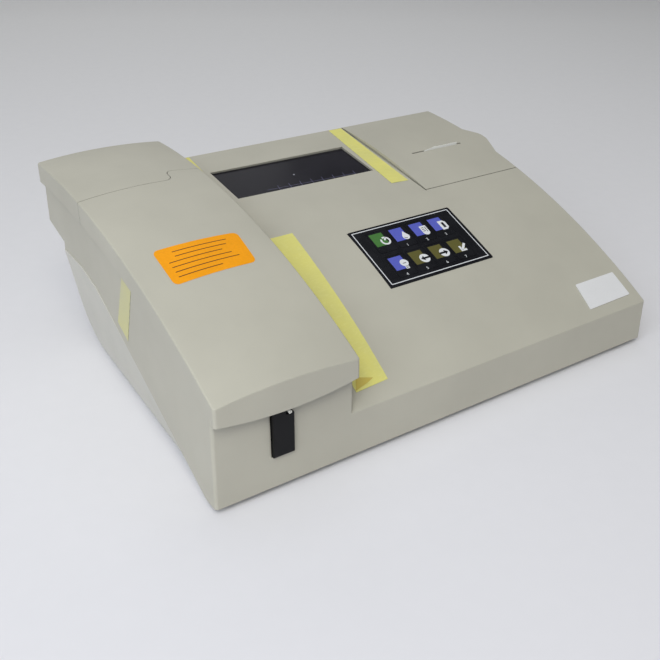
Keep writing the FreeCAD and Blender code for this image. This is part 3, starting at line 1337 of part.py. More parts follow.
def keep(name, shape):
    """Move a finished piece to the analyzer's own origin and write it."""
    moved = shape.copy()
    middle = (REAR + COVER_LIP - LID_LIP) / 2
    moved.translate(at(-(WIDTH + TAB_OUT) / 2, -middle, FOOT))
    solids = moved.Solids
    if not moved.isValid() or not solids:
        raise ValueError(name + " is not a valid solid")
    if len(solids) == 1:
        moved = solids[0]
    moved.exportStep(PARTS + "/" + name + ".step")


def main():
    os.makedirs(PARTS, exist_ok=True)
    keep("upper_housing", upper_housing())
    keep("lower_shell", lower_shell())
    keep("pod_rear_cover", rear_cover())
    keep("front_lid", front_lid())
    keep("lid_arms", Part.makeCompound([lid_arm(ARM_LEFT_X), lid_arm(ARM_RIGHT_X)]))
    keep("lid_hinge_pin", hinge_pin())
    keep("feet", feet())
    keep("base_screws", screws())
    keep("screen_window", glass_window())
    keep("lcd_module", lcd_module())
    keep("keypad_overlay", keypad_overlay())
    keep("keypad_board", keypad_board())
    names = ("power", "drop", "vial", "sheet", "lamp", "back", "forward", "enter")
    for name, (u, v) in zip(names, key_centres()):
        keep("key_" + name, key(u, v))
    keep("main_board", main_board())
    keep("power_supply", power_supply())
    keep("optical_bench", optical_bench())
    keep("cell_block", cell_block())
    keep("detector_board", detector_board())
    keep("lens_tube", lens_tube())
    keep("filter_wheel", filter_wheel())
    keep("filter_glasses", filter_glasses())
    keep("filter_motor", filter_motor())
    keep("lamp_housing", lamp_housing())
    keep("halogen_lamp", halogen_lamp())
    keep("compartment_tray", compartment_tray())
    keep("pump_head", pump_head())
    keep("pump_motor", pump_motor())
    keep("pump_rotor", pump_rotor())
    for i, (x, y) in enumerate(roller_places()):
        keep("pump_roller_" + str(i + 1), roller(x, y))
    keep("pump_tube", pump_tube())
    keep("sipper_nozzle", sipper_nozzle())
    keep("sample_tube", sample_tube())
    keep("trigger_plate", trigger_plate())
    keep("trigger_bracket", trigger_bracket())
    keep("trigger_switch", trigger_switch())
    keep("printer_lid", printer_lid())
    keep("printer_frame", printer_frame())
    keep("printer_hinge_pins", printer_pins())
    keep("print_head", print_head())
    keep("platen_roller", platen())
    keep("feed_gear", idler())
    keep("motor_pinion", pinion())
    keep("printer_motor", printer_motor())
    keep("paper_roll", paper_roll())
    keep("fan_housing", fan_housing())
    keep("fan_rotor", fan_rotor())
    keep("mains_inlet", mains_inlet())
    keep("power_switch_frame", switch_frame())
    keep("power_rocker", power_rocker())
    keep("serial_port", serial_port())
    keep("waste_fitting", waste_fitting())


main()
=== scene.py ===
# %% [markdown]
# # A bench chemistry analyzer
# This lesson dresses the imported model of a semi-automatic chemistry analyzer: a pale moulded
# instrument with a sample pod on the left, a dark display, a glossy keypad and a small printer.
# The solid pieces come ready made, each where it belongs, so the work here is the camera, the
# finishes, everything printed or stuck on the instrument, and the light. All lengths are metres.

# %% Load the solid pieces
import math
import random

import bmesh
import bpy
from mathutils import Euler, Matrix, Vector
from mathutils.bvhtree import BVHTree


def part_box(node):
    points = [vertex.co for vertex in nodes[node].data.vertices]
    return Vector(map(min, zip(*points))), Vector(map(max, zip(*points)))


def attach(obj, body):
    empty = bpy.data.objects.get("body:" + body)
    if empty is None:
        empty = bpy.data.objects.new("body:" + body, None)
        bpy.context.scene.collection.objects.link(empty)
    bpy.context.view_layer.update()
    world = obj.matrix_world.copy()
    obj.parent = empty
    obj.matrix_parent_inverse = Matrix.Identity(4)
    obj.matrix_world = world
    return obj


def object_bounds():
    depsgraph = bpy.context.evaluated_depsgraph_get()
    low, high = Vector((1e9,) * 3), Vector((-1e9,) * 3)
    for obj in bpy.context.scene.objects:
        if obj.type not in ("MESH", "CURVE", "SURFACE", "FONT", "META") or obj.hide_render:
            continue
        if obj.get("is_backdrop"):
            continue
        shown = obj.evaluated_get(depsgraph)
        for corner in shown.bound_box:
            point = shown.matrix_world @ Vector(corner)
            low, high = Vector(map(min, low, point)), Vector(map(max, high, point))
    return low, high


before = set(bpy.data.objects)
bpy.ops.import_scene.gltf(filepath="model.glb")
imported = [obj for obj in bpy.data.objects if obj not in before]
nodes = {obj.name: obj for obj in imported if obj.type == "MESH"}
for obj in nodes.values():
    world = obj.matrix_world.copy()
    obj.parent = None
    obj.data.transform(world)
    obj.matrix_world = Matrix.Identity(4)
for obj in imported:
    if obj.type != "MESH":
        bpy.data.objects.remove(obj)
solid_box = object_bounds()
random.seed(11)
MM = 0.001
print(len(nodes), "solid pieces, box", [round(side, 4) for side in solid_box[1] - solid_box[0]])

# %% [markdown]
# ## The camera
# The picture is taken from the front left, about three quarters of a metre away and looking down at
# the panel. The place and the direction were worked out from corners of the casing whose real
# positions are known. The horizon tilts by a third of a degree, and the frame sits a little low.

# %% Camera
PICTURE = 660
FOCAL_PIXELS = 877.3
PICTURE_DROP = 16
lens = bpy.data.cameras.new("camera")
lens.sensor_width = 36.0
lens.lens = FOCAL_PIXELS / PICTURE * lens.sensor_width
lens.shift_y = -PICTURE_DROP / PICTURE
lens.clip_start = 0.05
lens.clip_end = 30.0
camera = bpy.data.objects.new("camera", lens)
camera.location = (-0.37735, -0.5377, 0.3805)
AZIMUTH = math.radians(33.53)
DOWN = math.radians(28.92)
TILT = math.radians(0.37)
level_reach = math.cos(DOWN)
forward = Vector((math.sin(AZIMUTH) * level_reach, math.cos(AZIMUTH) * level_reach, -math.sin(DOWN)))
turn = forward.to_track_quat("-Z", "Y").to_matrix() @ Matrix.Rotation(TILT, 3, "Z")
camera.rotation_mode = "QUATERNION"
camera.rotation_quaternion = turn.to_quaternion()
bpy.context.scene.collection.objects.link(camera)
bpy.context.scene.camera = camera
print("lens", round(lens.lens, 2), "mm, distance", round(camera.location.length, 3), "m")

# %% [markdown]
# ## Writing a finish as an expression
# A finish is a small network of shader nodes. Drawn by hand it soon becomes a web of wires, so two
# helpers let it read like arithmetic. `Wire` stands for one output, and adding or multiplying wires
# adds Math nodes. `Finish` is one material: its `node` method makes any other node from a type,
# the settings that must come first, and the values or wires of its sockets.

# %% Wire and Finish
class Wire:
    """One output of a node, which can be used in sums and products."""

    def __init__(self, finish, socket):
        self.finish = finish
        self.socket = socket

    def math(self, operation, first, second):
        return self.finish.node("ShaderNodeMath", {"operation": operation}, {0: first, 1: second})

    def __add__(self, other):
        return self.math("ADD", self, other)

    def __sub__(self, other):
        return self.math("SUBTRACT", self, other)

    def __mul__(self, other):
        return self.math("MULTIPLY", self, other)

    def __rsub__(self, other):
        return self.math("SUBTRACT", other, self)

    __radd__ = __add__
    __rmul__ = __mul__

    def between(self, low, high):
        """This value stretched from low..high to 0..1, and held there."""
        sockets = {"Value": self, "From Min": low, "From Max": high}
        return self.finish.node("ShaderNodeMapRange", {"clamp": True}, sockets)


class Finish:
    """A material in the making."""

    def __init__(self, name, **fixed):
        self.material = bpy.data.materials.new(name)
        self.material.use_nodes = True
        self.tree = self.material.node_tree
        self.shader = self.tree.nodes["Principled BSDF"]
        self.place = self.node("ShaderNodeTexCoord", {}, {}, "Object")
        for socket, value in fixed.items():
            self.shader.inputs[socket.replace("_", " ")].default_value = value

    def node(self, kind, settings, sockets, out=0):
        made = self.tree.nodes.new(kind)
        for setting, value in settings.items():
            setattr(made, setting, value)
        for socket, value in sockets.items():
            self.feed(made.inputs[socket], value)
        return Wire(self, made.outputs[out])

    def feed(self, socket, value):
        if isinstance(value, Wire):
            self.tree.links.new(value.socket, socket)
        else:
            socket.default_value = value

    def shade(self, **sockets):
        for socket, value in sockets.items():
            self.feed(self.shader.inputs[socket.replace("_", " ")], value)
        return self.material

    def noise(self, size, detail=2.0, rough=0.5, where=None):
        """Cloudy pattern; size is that of its patches, in millimetres."""
        sockets = {"Vector": where or self.place, "Scale": 1.0 / (size * MM)}
        sockets.update({"Detail": detail, "Roughness": rough})
        return self.node("ShaderNodeTexNoise", {"noise_dimensions": "3D"}, sockets, "Fac")

    def mix(self, amount, first, second):
        """From the first colour to the second, as the amount goes from 0 to 1."""
        return self.node("ShaderNodeMix", {"data_type": "RGBA"}, {0: amount, 6: first, 7: second}, 2)

    def bump(self, height, strength, depth):
        """Relief of the given depth, in millimetres."""
        sockets = {"Height": height, "Strength": strength, "Distance": depth * MM}
        return self.node("ShaderNodeBump", {}, sockets)


def paint(red, green, blue):
    """A colour given as screen values of 0 to 255, turned into the linear values that nodes need."""
    values = []
    for part in (red, green, blue):
        share = part / 255
        values.append(share / 12.92 if share <= 0.04045 else ((share + 0.055) / 1.055) ** 2.4)
    return (*values, 1.0)


def toned(colour, share):
    """The same colour, this many times as bright."""
    return tuple(value * share for value in colour[:3]) + (1.0,)


print("helpers ready, mid grey is", [round(value, 3) for value in paint(128, 128, 128)[:3]])

# %% [markdown]
# ## Moulded casing plastic
# The casing is a warm pale grey, moulded in a tool whose surface was eroded by sparks. That leaves a
# fine even grain that turns hard reflections into a soft sheen. Flat grey looks like paint on a
# screen, so the finish adds three things at three sizes: grain under half a millimetre as relief,
# faint clouds of tone across a hand's width, and slightly glossier patches where hands rub. Faint
# specks of dust darken the tone a little. Where a surface is shut in, in gaps between two mouldings
# and under overhangs, the tone is darkened much more: this is painted shade.

# %% Casing finishes
def moulded(name, colour, grain=0.45, gloss=0.44, shadow=0.93, shine=0.5, painted_seam_shade=False):
    finish = Finish(name, IOR=1.49, Specular_IOR_Level=shine)
    clouds = finish.noise(90.0, 3.0, 0.6)
    dust = finish.noise(7.0, 4.0, 0.65)
    darker = toned(colour, shadow)
    tone = finish.mix(clouds.between(0.35, 0.65), colour, darker)
    dust_and_painted_shade = finish.mix(dust.between(0.55, 0.9) * 0.10, tone, toned(colour, 0.72))
    # Painted shade: where ambient occlusion finds the surface shut in, in gaps and under overhangs, the
    # colour is darkened towards a fifth of itself.
    if painted_seam_shade:
        occlusion_for_painted_shade = finish.node("ShaderNodeAmbientOcclusion", {"samples": 8}, {"Distance": 4.5 * MM}, "AO")
        painted_shade_amount = (1.0 - occlusion_for_painted_shade).between(0.27, 0.55) * 0.72
        dust_and_painted_shade = finish.mix(painted_shade_amount, dust_and_painted_shade, toned(colour, 0.22))
    rubbed = finish.noise(35.0, 2.0)
    fine = finish.noise(grain, 2.0, 0.55)
    relief = finish.bump(fine, 0.22, 0.05)
    return finish.shade(Base_Color=dust_and_painted_shade, Roughness=gloss + rubbed.between(0.3, 0.7) * 0.09, Normal=relief)


casing = moulded("casing_plastic", paint(188, 185, 172), painted_seam_shade=True)
# Painted light: the lower shell is coloured lighter than the casing, standing in for the light that the
# white cloth throws up onto it.
bounce_lit_lower_shell = moulded("lower_shell_plastic_painted_bounce", paint(209, 207, 198), gloss=0.47)
inside = moulded("inner_plastic", paint(150, 150, 144), gloss=0.5)
black = moulded("black_plastic", paint(18, 18, 21), grain=0.35, gloss=0.42, shadow=0.8, shine=0.2)
print("casing finishes:", casing.name, bounce_lit_lower_shell.name, inside.name, black.name)

# %% [markdown]
# ## Metals, rubber and boards
# Inside the pod and under the printer lid there are turned pins, sheet aluminium, rubber rollers and
# green boards. Brushed metal keeps its grain in one direction, which a noise pattern squeezed along
# one axis gives. Rubber is nearly black and dull. A board is green lacquer over faint copper tracks.

# %% Inner finishes
BRUSHED = (1.0, 14.0, 14.0)


def metal(name, colour, roughness):
    finish = Finish(name, Metallic=1.0)
    squeezed = finish.node("ShaderNodeMapping", {}, {"Vector": finish.place, "Scale": BRUSHED})
    brushed = finish.noise(3.0, 4.0, 0.6, squeezed)
    worn = finish.noise(18.0, 3.0)
    tone = finish.mix(worn.between(0.3, 0.7), colour, toned(colour, 0.85))
    rough = roughness + brushed.between(0.3, 0.7) * 0.14
    return finish.shade(Base_Color=tone, Roughness=rough, Normal=finish.bump(brushed, 0.12, 0.03))


def dull_rubber(name, colour, roughness):
    finish = Finish(name, IOR=1.5)
    bloom = finish.noise(12.0, 4.0, 0.6)
    tone = finish.mix(bloom.between(0.4, 0.8) * 0.5, colour, toned(colour, 1.7))
    pores = finish.noise(0.6, 2.0)
    rough = roughness + bloom.between(0.3, 0.8) * 0.1
    return finish.shade(Base_Color=tone, Roughness=rough, Normal=finish.bump(pores, 0.2, 0.05))


def circuit_board():
    finish = Finish("circuit_board", IOR=1.5)
    settings = {"distance": "CHEBYCHEV", "feature": "F1"}
    sockets = {"Vector": finish.place, "Scale": 260.0}
    cells = finish.node("ShaderNodeTexVoronoi", settings, sockets, "Distance")
    tracks = cells.between(0.42, 0.5)
    tone = finish.mix(tracks, paint(16, 84, 46), paint(40, 120, 66))
    return finish.shade(Base_Color=tone, Roughness=0.3 + finish.noise(5.0) * 0.1,
                        Normal=finish.bump(tracks, 0.3, 0.04))


steel = metal("steel", paint(196, 196, 198), 0.26)
aluminium = metal("aluminium", paint(204, 204, 206), 0.38)
black_metal = metal("black_metal", paint(44, 44, 47), 0.42)
rubber = dull_rubber("rubber", paint(38, 38, 39), 0.72)
roller_rubber = dull_rubber("roller_rubber", paint(30, 30, 31), 0.55)
tubing = dull_rubber("silicone_tube", paint(214, 211, 198), 0.4)
board = circuit_board()
print("inner finishes:", steel.name, aluminium.name, black_metal.name, rubber.name, board.name)

# %% [markdown]
# ## Clear, glossy and paper finishes
# The display window is dark tinted plastic that mirrors the room, so it is black with a hard gloss
# and the faintest haze. The keypad is one printed film: near black, glossy, with a soft ripple
# where it bridges the keys. Gears and nozzle are white nylon, and the roll is thermal paper.

# %% Window, keypad, nylon and paper finishes
def window_glass():
    finish = Finish("display_window", IOR=1.49, Specular_IOR_Level=0.14)
    haze = finish.noise(40.0, 4.0, 0.6)
    tone = finish.mix(haze.between(0.3, 0.75), paint(24, 23, 31), paint(32, 31, 39))
    return finish.shade(Base_Color=tone, Roughness=0.16 + haze.between(0.4, 0.8) * 0.1,
                        Normal=finish.bump(finish.noise(60.0, 1.0), 0.04, 0.2))


def keypad_film():
    finish = Finish("keypad_film", IOR=1.52, Specular_IOR_Level=0.2)
    smears = finish.noise(14.0, 4.0, 0.65)
    tone = finish.mix(smears.between(0.45, 0.8), paint(17, 18, 23), paint(25, 26, 31))
    return finish.shade(Base_Color=tone, Roughness=0.24 + smears.between(0.4, 0.8) * 0.14,
                        Normal=finish.bump(finish.noise(9.0, 2.0), 0.06, 0.2))


def nylon(name, colour):
    finish = Finish(name, IOR=1.53)
    flow = finish.noise(6.0, 3.0)
    tone = finish.mix(flow.between(0.3, 0.7), colour, toned(colour, 0.93))
    return finish.shade(Base_Color=tone, Roughness=0.3 + flow * 0.1,
                        Normal=finish.bump(finish.noise(0.8, 2.0), 0.08, 0.04))


def thermal_paper():
    finish = Finish("thermal_paper", IOR=1.45)
    settings = {"wave_type": "RINGS", "rings_direction": "X"}
    layers = finish.node("ShaderNodeTexWave", settings, {"Vector": finish.place, "Scale": 900.0}, "Fac")
    fibres = finish.noise(0.5, 3.0)
    tone = finish.mix(layers.between(0.2, 0.8) * 0.25, paint(240, 240, 236), paint(214, 214, 211))
    return finish.shade(Base_Color=tone, Roughness=0.62 + fibres * 0.1,
                        Normal=finish.bump(fibres, 0.15, 0.03))


def clear_glass(name, colour, see_through):
    finish = Finish(name, IOR=1.5, Transmission_Weight=see_through)
    film = finish.noise(5.0, 3.0)
    tone = finish.mix(film.between(0.3, 0.7), colour, toned(colour, 0.9))
    return finish.shade(Base_Color=tone, Roughness=0.05 + film * 0.06)


display_glass = window_glass()
film = keypad_film()
white_nylon = nylon("white_nylon", paint(226, 225, 219))
paper = thermal_paper()
optic_glass = clear_glass("filter_glass", paint(190, 205, 225), 0.7)
lamp_quartz = clear_glass("lamp_quartz", paint(232, 230, 222), 0.6)
lcd = moulded("display_module", paint(26, 26, 34), gloss=0.3)
print("clear and glossy finishes:", display_glass.name, film.name, white_nylon.name, paper.name)

# %% [markdown]
# ## Dressing the solid pieces
# The solids arrive as triangles whose corners are split, which makes wide curves look faceted. Three
# modifiers mend that without moving a vertex. Weld joins the split corners, a small node group marks
# as sharp only the edges that turn by more than 24 degrees, and Weighted Normal lets each large face
# keep its own direction, so that light runs cleanly across it.

# %% Smooth shading for the solids
SHARP_TURN = math.radians(24)


def crease_marker():
    """Node group that shades a mesh smooth, but leaves edges sharp where the surface turns quickly."""
    group = bpy.data.node_groups.new("mark_creases", "GeometryNodeTree")
    group.interface.new_socket("Geometry", in_out="INPUT", socket_type="NodeSocketGeometry")
    group.interface.new_socket("Geometry", in_out="OUTPUT", socket_type="NodeSocketGeometry")
    entry = group.nodes.new("NodeGroupInput")
    leave = group.nodes.new("NodeGroupOutput")
    faces = group.nodes.new("GeometryNodeSetShadeSmooth")
    edges = group.nodes.new("GeometryNodeSetShadeSmooth")
    edges.domain = "EDGE"
    angle = group.nodes.new("GeometryNodeInputMeshEdgeAngle")
    gentle = group.nodes.new("FunctionNodeCompare")
    gentle.operation = "LESS_THAN"
    gentle.inputs[1].default_value = SHARP_TURN
    group.links.new(entry.outputs[0], faces.inputs["Geometry"])
    group.links.new(faces.outputs[0], edges.inputs["Geometry"])
    group.links.new(angle.outputs["Unsigned Angle"], gentle.inputs[0])
    group.links.new(gentle.outputs[0], edges.inputs["Shade Smooth"])
    group.links.new(edges.outputs[0], leave.inputs[0])
    return group


creases = crease_marker()


def smooth(piece):
    weld = piece.modifiers.new("weld", "WELD")
    weld.merge_threshold = 0.002 * MM
    marker = piece.modifiers.new("creases", "NODES")
    marker.node_group = creases
    even = piece.modifiers.new("even_light", "WEIGHTED_NORMAL")
    even.keep_sharp = True
    even.weight = 60


def dress(names, material):
    for name in names:
        piece = nodes[name]
        piece.data.materials.clear()
        piece.data.materials.append(material)
        smooth(piece)


# %% [markdown]
# ## Which piece gets which finish
# The lists below go through the instrument from the outside in. Nothing is left over: the last line
# checks that every solid that shows has been given a finish of its own.

# %% Finishes for every solid
keys = [name for name in nodes if name.startswith("key_")]
rollers = [name for name in nodes if name.startswith("pump_roller_")]
dress(["upper_housing", "front_lid", "pod_rear_cover", "printer_lid"], casing)
dress(["lower_shell"], bounce_lit_lower_shell)
dress(["compartment_tray", "lid_arms", "pump_rotor"], inside)
dress(["trigger_plate", "trigger_bracket", "trigger_switch", "printer_frame"], black)
dress(["fan_housing", "fan_rotor", "mains_inlet", "power_switch_frame", "power_rocker"], black)
dress(["keypad_overlay"] + keys, film)
dress(["screen_window"], display_glass)
dress(["lcd_module"], lcd)
dress(["keypad_board", "main_board", "detector_board"], board)
dress(["base_screws", "lid_hinge_pin", "printer_hinge_pins", "filter_motor", "pump_motor"], steel)
dress(["printer_motor", "serial_port"], steel)
dress(["power_supply", "optical_bench", "lamp_housing", "print_head"], aluminium)
dress(["cell_block", "lens_tube", "filter_wheel"], black_metal)
dress(["feed_gear", "motor_pinion", "pump_head", "waste_fitting", "sipper_nozzle"] + rollers, white_nylon)
dress(["feet"], rubber)
dress(["platen_roller"], roller_rubber)
dress(["pump_tube", "sample_tube"], tubing)
dress(["paper_roll"], paper)
dress(["filter_glasses"], optic_glass)
dress(["halogen_lamp"], lamp_quartz)
bare = [name for name, piece in nodes.items() if not piece.modifiers]
print("pieces without a finish:", bare)

# %% [markdown]
# ## Laying thin things on a curved surface
# Labels and tape are flat when they are made and take the shape of what they are stuck to. Here each
# one starts as a drawing seen from above. A ray dropped through every point finds the surface below
# it, and the point is set a hair above it. The sheet then follows the crown of the lid or the
# slope of the panel without any fitting by hand.

# %% Finding the surface
class Ground:
    """The surface of some solids, which can be asked what lies in a given direction."""

    def __init__(self, *names):
        corners = []
        faces = []
        for name in names:
            mesh = nodes[name].data
            start = len(corners)
            corners += [vertex.co.copy() for vertex in mesh.vertices]
            faces += [[start + index for index in face.vertices] for face in mesh.polygons]
        self.tree = BVHTree.FromPolygons(corners, faces)

    def under(self, x, y):
        """Point and normal of the surface straight below this place."""
        point, normal, _, _ = self.tree.ray_cast(Vector((x, y, 1.0)), Vector((0, 0, -1)))
        return point, normal

    def beside(self, y, z):
        """Point and normal of the left wall at this height."""
        point, normal, _, _ = self.tree.ray_cast(Vector((-1.0, y, z)), Vector((1, 0, 0)))
        return point, normal


def add_piece(name, mesh, material, body):
    piece = bpy.data.objects.new(name, mesh)
    bpy.context.scene.collection.objects.link(piece)
    mesh.materials.append(material)
    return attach(piece, body)


def sheet_mesh(name, rows, lift, thickness):
    """A thin closed sheet over rows of (point, normal) pairs, all rows of the same length."""
    form = bmesh.new()
    top = lift + thickness
    upper = [[form.verts.new(point + normal * top) for point, normal in row] for row in rows]
    lower = [[form.verts.new(point + normal * lift) for point, normal in row] for row in rows]
    high, wide = len(rows), len(rows[0])
    for i in range(high - 1):
        for j in range(wide - 1):
            form.faces.new((upper[i][j], upper[i][j + 1], upper[i + 1][j + 1], upper[i + 1][j]))
            form.faces.new((lower[i][j], lower[i + 1][j], lower[i + 1][j + 1], lower[i][j + 1]))
    rim = [(i, 0) for i in range(high)] + [(high - 1, j) for j in range(1, wide)]
    rim += [(i, wide - 1) for i in range(high - 2, -1, -1)] + [(0, j) for j in range(wide - 2, 0, -1)]
    for (i, j), (k, m) in zip(rim, rim[1:] + rim[:1]):
        form.faces.new((upper[i][j], upper[k][m], lower[k][m], lower[i][j]))
    bmesh.ops.recalc_face_normals(form, faces=form.faces)
    mesh = bpy.data.meshes.new(name)
    form.to_mesh(mesh)
    form.free()
    for face in mesh.polygons:
        face.use_smooth = True
    mesh.set_sharp_from_angle(angle=math.radians(40))
    return mesh


# The casing's front left lower corner, from where the places on it are measured.
SHIFT_X = -0.20325
SHIFT_Y = -0.1464
SHIFT_Z = 0.005


def spot(x, y):
    """Plan position in metres of a place given in millimetres from the casing's front left corner."""
    return (x * MM + SHIFT_X, y * MM + SHIFT_Y)


def rounded_rows(corners, radius, across, along):
    """Rows of plan points over a four-sided sheet with rounded corners, all in millimetres."""
    lower_left, lower_right, upper_right, upper_left = [Vector(corner) for corner in corners]
    width = ((lower_right - lower_left).length + (upper_right - upper_left).length) / 2
    height = ((upper_left - lower_left).length + (upper_right - lower_right).length) / 2
    rows = []
    for i in range(along + 1):
        turn = (1 - math.cos(math.pi * i / along)) / 2
        reach = turn * height
        edge = min(reach, height - reach)
        inset = 0.0
        if edge < radius:
            inset = radius - math.sqrt(radius ** 2 - (radius - edge) ** 2)
        left = lower_left.lerp(upper_left, turn)
        right = lower_right.lerp(upper_right, turn)
        shares = [(inset + (width - 2 * inset) * j / across) / width for j in range(across + 1)]
        rows.append([left.lerp(right, share) for share in shares])
    return rows


lid_top = Ground("front_lid")
panel_top = Ground("upper_housing")
print("lid surface at its middle is", round(lid_top.under(*spot(52, 100))[0].z, 4), "m up")

# %% [markdown]
# ## The orange sticker and the white plate
# A sticker is paper or vinyl with a printed face: a strong even orange with a slightly open grain,
# and edges that lie flat. This one is left without words. Its face carries only plain ruled lines,
# drawn as strips a few hundredths of a millimetre thick. The white plate at the right is bare.

# %% Sticker and plate
def printed(name, colour, roughness=0.42, mottle=0.06):
    finish = Finish(name, IOR=1.46, Specular_IOR_Level=0.25)
    ink = finish.noise(1.6, 3.0, 0.6)
    wide = finish.noise(22.0, 2.0)
    darker = toned(colour, 1 - 3 * mottle)
    tone = finish.mix(ink.between(0.4, 0.75) * 0.4 + wide.between(0.3, 0.7) * 0.4, colour, darker)
    return finish.shade(Base_Color=tone, Roughness=roughness + wide * 0.1,
                        Normal=finish.bump(ink, 0.08, 0.03))


orange = printed("orange_vinyl", paint(250, 163, 2))
ink_brown = printed("dark_ink", paint(92, 58, 30))
plate_white = printed("white_plate", paint(226, 226, 228), 0.3, 0.02)
LABEL = ((20.7, 83.5), (82.0, 85.5), (84.2, 118.6), (20.7, 119.4))
PLATE = ((341.9, 8.9), (388.9, 9.5), (388.8, 30.2), (344.9, 30.3))


def stick(name, corners, radius, ground, material, body, thickness=0.12, lift=0.02, across=14, along=14):
    rows = []
    for row in rounded_rows(corners, radius, across, along):
        rows.append([ground.under(*spot(*place)) for place in row])
    mesh = sheet_mesh(name, rows, lift * MM, thickness * MM)
    add_piece(name, mesh, material, body)


def inside_corners(corners, left, right, low, high):
    """Corners of a strip inside a sheet, given as shares of its width and height."""
    a, b, c, d = [Vector(corner) for corner in corners]

    def place(across, up):
        return a.lerp(b, across).lerp(d.lerp(c, across), up)

    return [place(left, low), place(right, low), place(right, high), place(left, high)]


stick("lid_sticker", LABEL, 4.0, lid_top, orange, "front_lid")
LINES = ((0.19, 0.83), (0.19, 0.80), (0.09, 0.72), (0.09, 0.80), (0.09, 0.86), (0.09, 0.62))
TOP_LINE = 0.84
LINE_STEP = 0.135
LINE_HALF = 0.010
for number, (left, right) in enumerate(LINES):
    middle = TOP_LINE - LINE_STEP * number
    strip = inside_corners(LABEL, left, right, middle - LINE_HALF, middle + LINE_HALF)
    stick("sticker_line_" + str(number + 1), strip, 0.1, lid_top, ink_brown, "front_lid", 0.03, 0.14, 16, 2)
stick("name_plate_blank", PLATE, 0.6, panel_top, plate_white, "root", 0.5, 0.0, 16, 10)
print("sticker with", len(LINES), "ruled lines, and one bare plate")

# %% [markdown]
# ## What is printed on the keypad
# The keypad is one black film over eight keys. Each key shows a coloured square with a white sign
# across its lower right corner, and a plain number below it. A thin white line runs round the film. The
# signs are flat outlines, so each is drawn as a polygon on the sloping face of its own key, and
# moves with the key when it is pressed.

# %% The keypad's plane
def plane_at(corner, across, up, facing):
    """The plane with this corner and these directions, as a matrix from its own places to the room's."""
    plane = Matrix.Identity(4)
    for column, direction in enumerate((across, up, facing, corner)):
        plane.col[column][:3] = direction
    return plane


FILM_EDGE = 0.0015
film_low, film_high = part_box("keypad_overlay")
first, tilt = Ground("keypad_overlay").under((film_low.x + film_high.x) / 2, film_low.y + FILM_EDGE)
across_axis = Vector((1, 0, 0))
up_axis = tilt.cross(across_axis).normalized()
front_edge = first - up_axis * ((first.y - film_low.y) / up_axis.y)
film_corner = Vector((film_low.x, front_edge.y, front_edge.z))
KEY_FACE = plane_at(film_corner, across_axis, up_axis, tilt)
print("keypad slope", round(math.degrees(math.asin(up_axis.z)), 2), "degrees")


# %% Flat shapes on a plane
def flat_piece(name, outlines, plane, material, body, lift=0.02, thickness=0.05):
    """Closed flat shapes, given in millimetres on the plane, as one thin printed piece."""
    form = bmesh.new()
    for outline in outlines:
        low = [form.verts.new(plane @ (Vector((u, v, lift)) * MM)) for u, v in outline]
        top = [form.verts.new(plane @ (Vector((u, v, lift + thickness)) * MM)) for u, v in outline]
        form.faces.new(top)
        form.faces.new(low[::-1])
        for i in range(len(low)):
            k = (i + 1) % len(low)
            form.faces.new((low[i], low[k], top[k], top[i]))
    bmesh.ops.recalc_face_normals(form, faces=form.faces)
    bmesh.ops.triangulate(form, faces=form.faces)
    mesh = bpy.data.meshes.new(name)
    form.to_mesh(mesh)
    form.free()
    add_piece(name, mesh, material, body)


ARC_STEPS = 24


def circle(u, v, radius, count, start=0.0, sweep=2 * math.pi):
    """Points round a circle, or along an arc when the sweep is less than a full turn."""
    steps = count if sweep == 2 * math.pi else count + 1
    angles = [start + sweep * i / count for i in range(steps)]
    return [(u + radius * math.cos(angle), v + radius * math.sin(angle)) for angle in angles]


def arc_band(u, v, inner, outer, start, sweep):
    outside = circle(u, v, outer, ARC_STEPS, start, sweep)
    return outside + circle(u, v, inner, ARC_STEPS, start, sweep)[::-1]


def bar(u0, v0, u1, v1, width):
    """A straight stroke between two points."""
    along = Vector((u1 - u0, v1 - v0)).normalized()
    side = Vector((-along.y, along.x)) * width / 2
    return [(u0 + side.x, v0 + side.y), (u0 - side.x, v0 - side.y),
            (u1 - side.x, v1 - side.y), (u1 + side.x, v1 + side.y)]


def oblong(u, v, width, height):
    return [(u - width / 2, v - height / 2), (u + width / 2, v - height / 2),
            (u + width / 2, v + height / 2), (u - width / 2, v + height / 2)]


# %% [markdown]
# ## Eight signs
# Every sign is a few simple outlines: strokes, arcs and discs. Small black details on a white sign
# are a second printed layer above it. The colours of the squares are those of screen printing
# inks, a little dull under the film: leaf green, cornflower blue and olive.

# %% Squares and signs
ink_white = printed("white_ink", paint(226, 228, 232), 0.35, 0.02)
ink_black = printed("black_ink", paint(20, 20, 24), 0.35, 0.02)
ink_green = printed("green_ink", paint(72, 122, 60), 0.35)
ink_blue = printed("blue_ink", paint(92, 100, 196), 0.35)
ink_olive = printed("olive_ink", paint(98, 94, 48), 0.35)
SQUARE_U = (15.3, 34.9, 55.0, 74.5)
SQUARE_V = (42.0, 14.2)
SQUARE_WIDTH = 12.3
SQUARE_HEIGHT = 14.0


def drop_outline(u, v, size):
    points = [(u, v + size * 1.25)]
    points += circle(u, v - size * 0.15, size * 0.72, 20, math.radians(28), math.radians(-236))
    return points


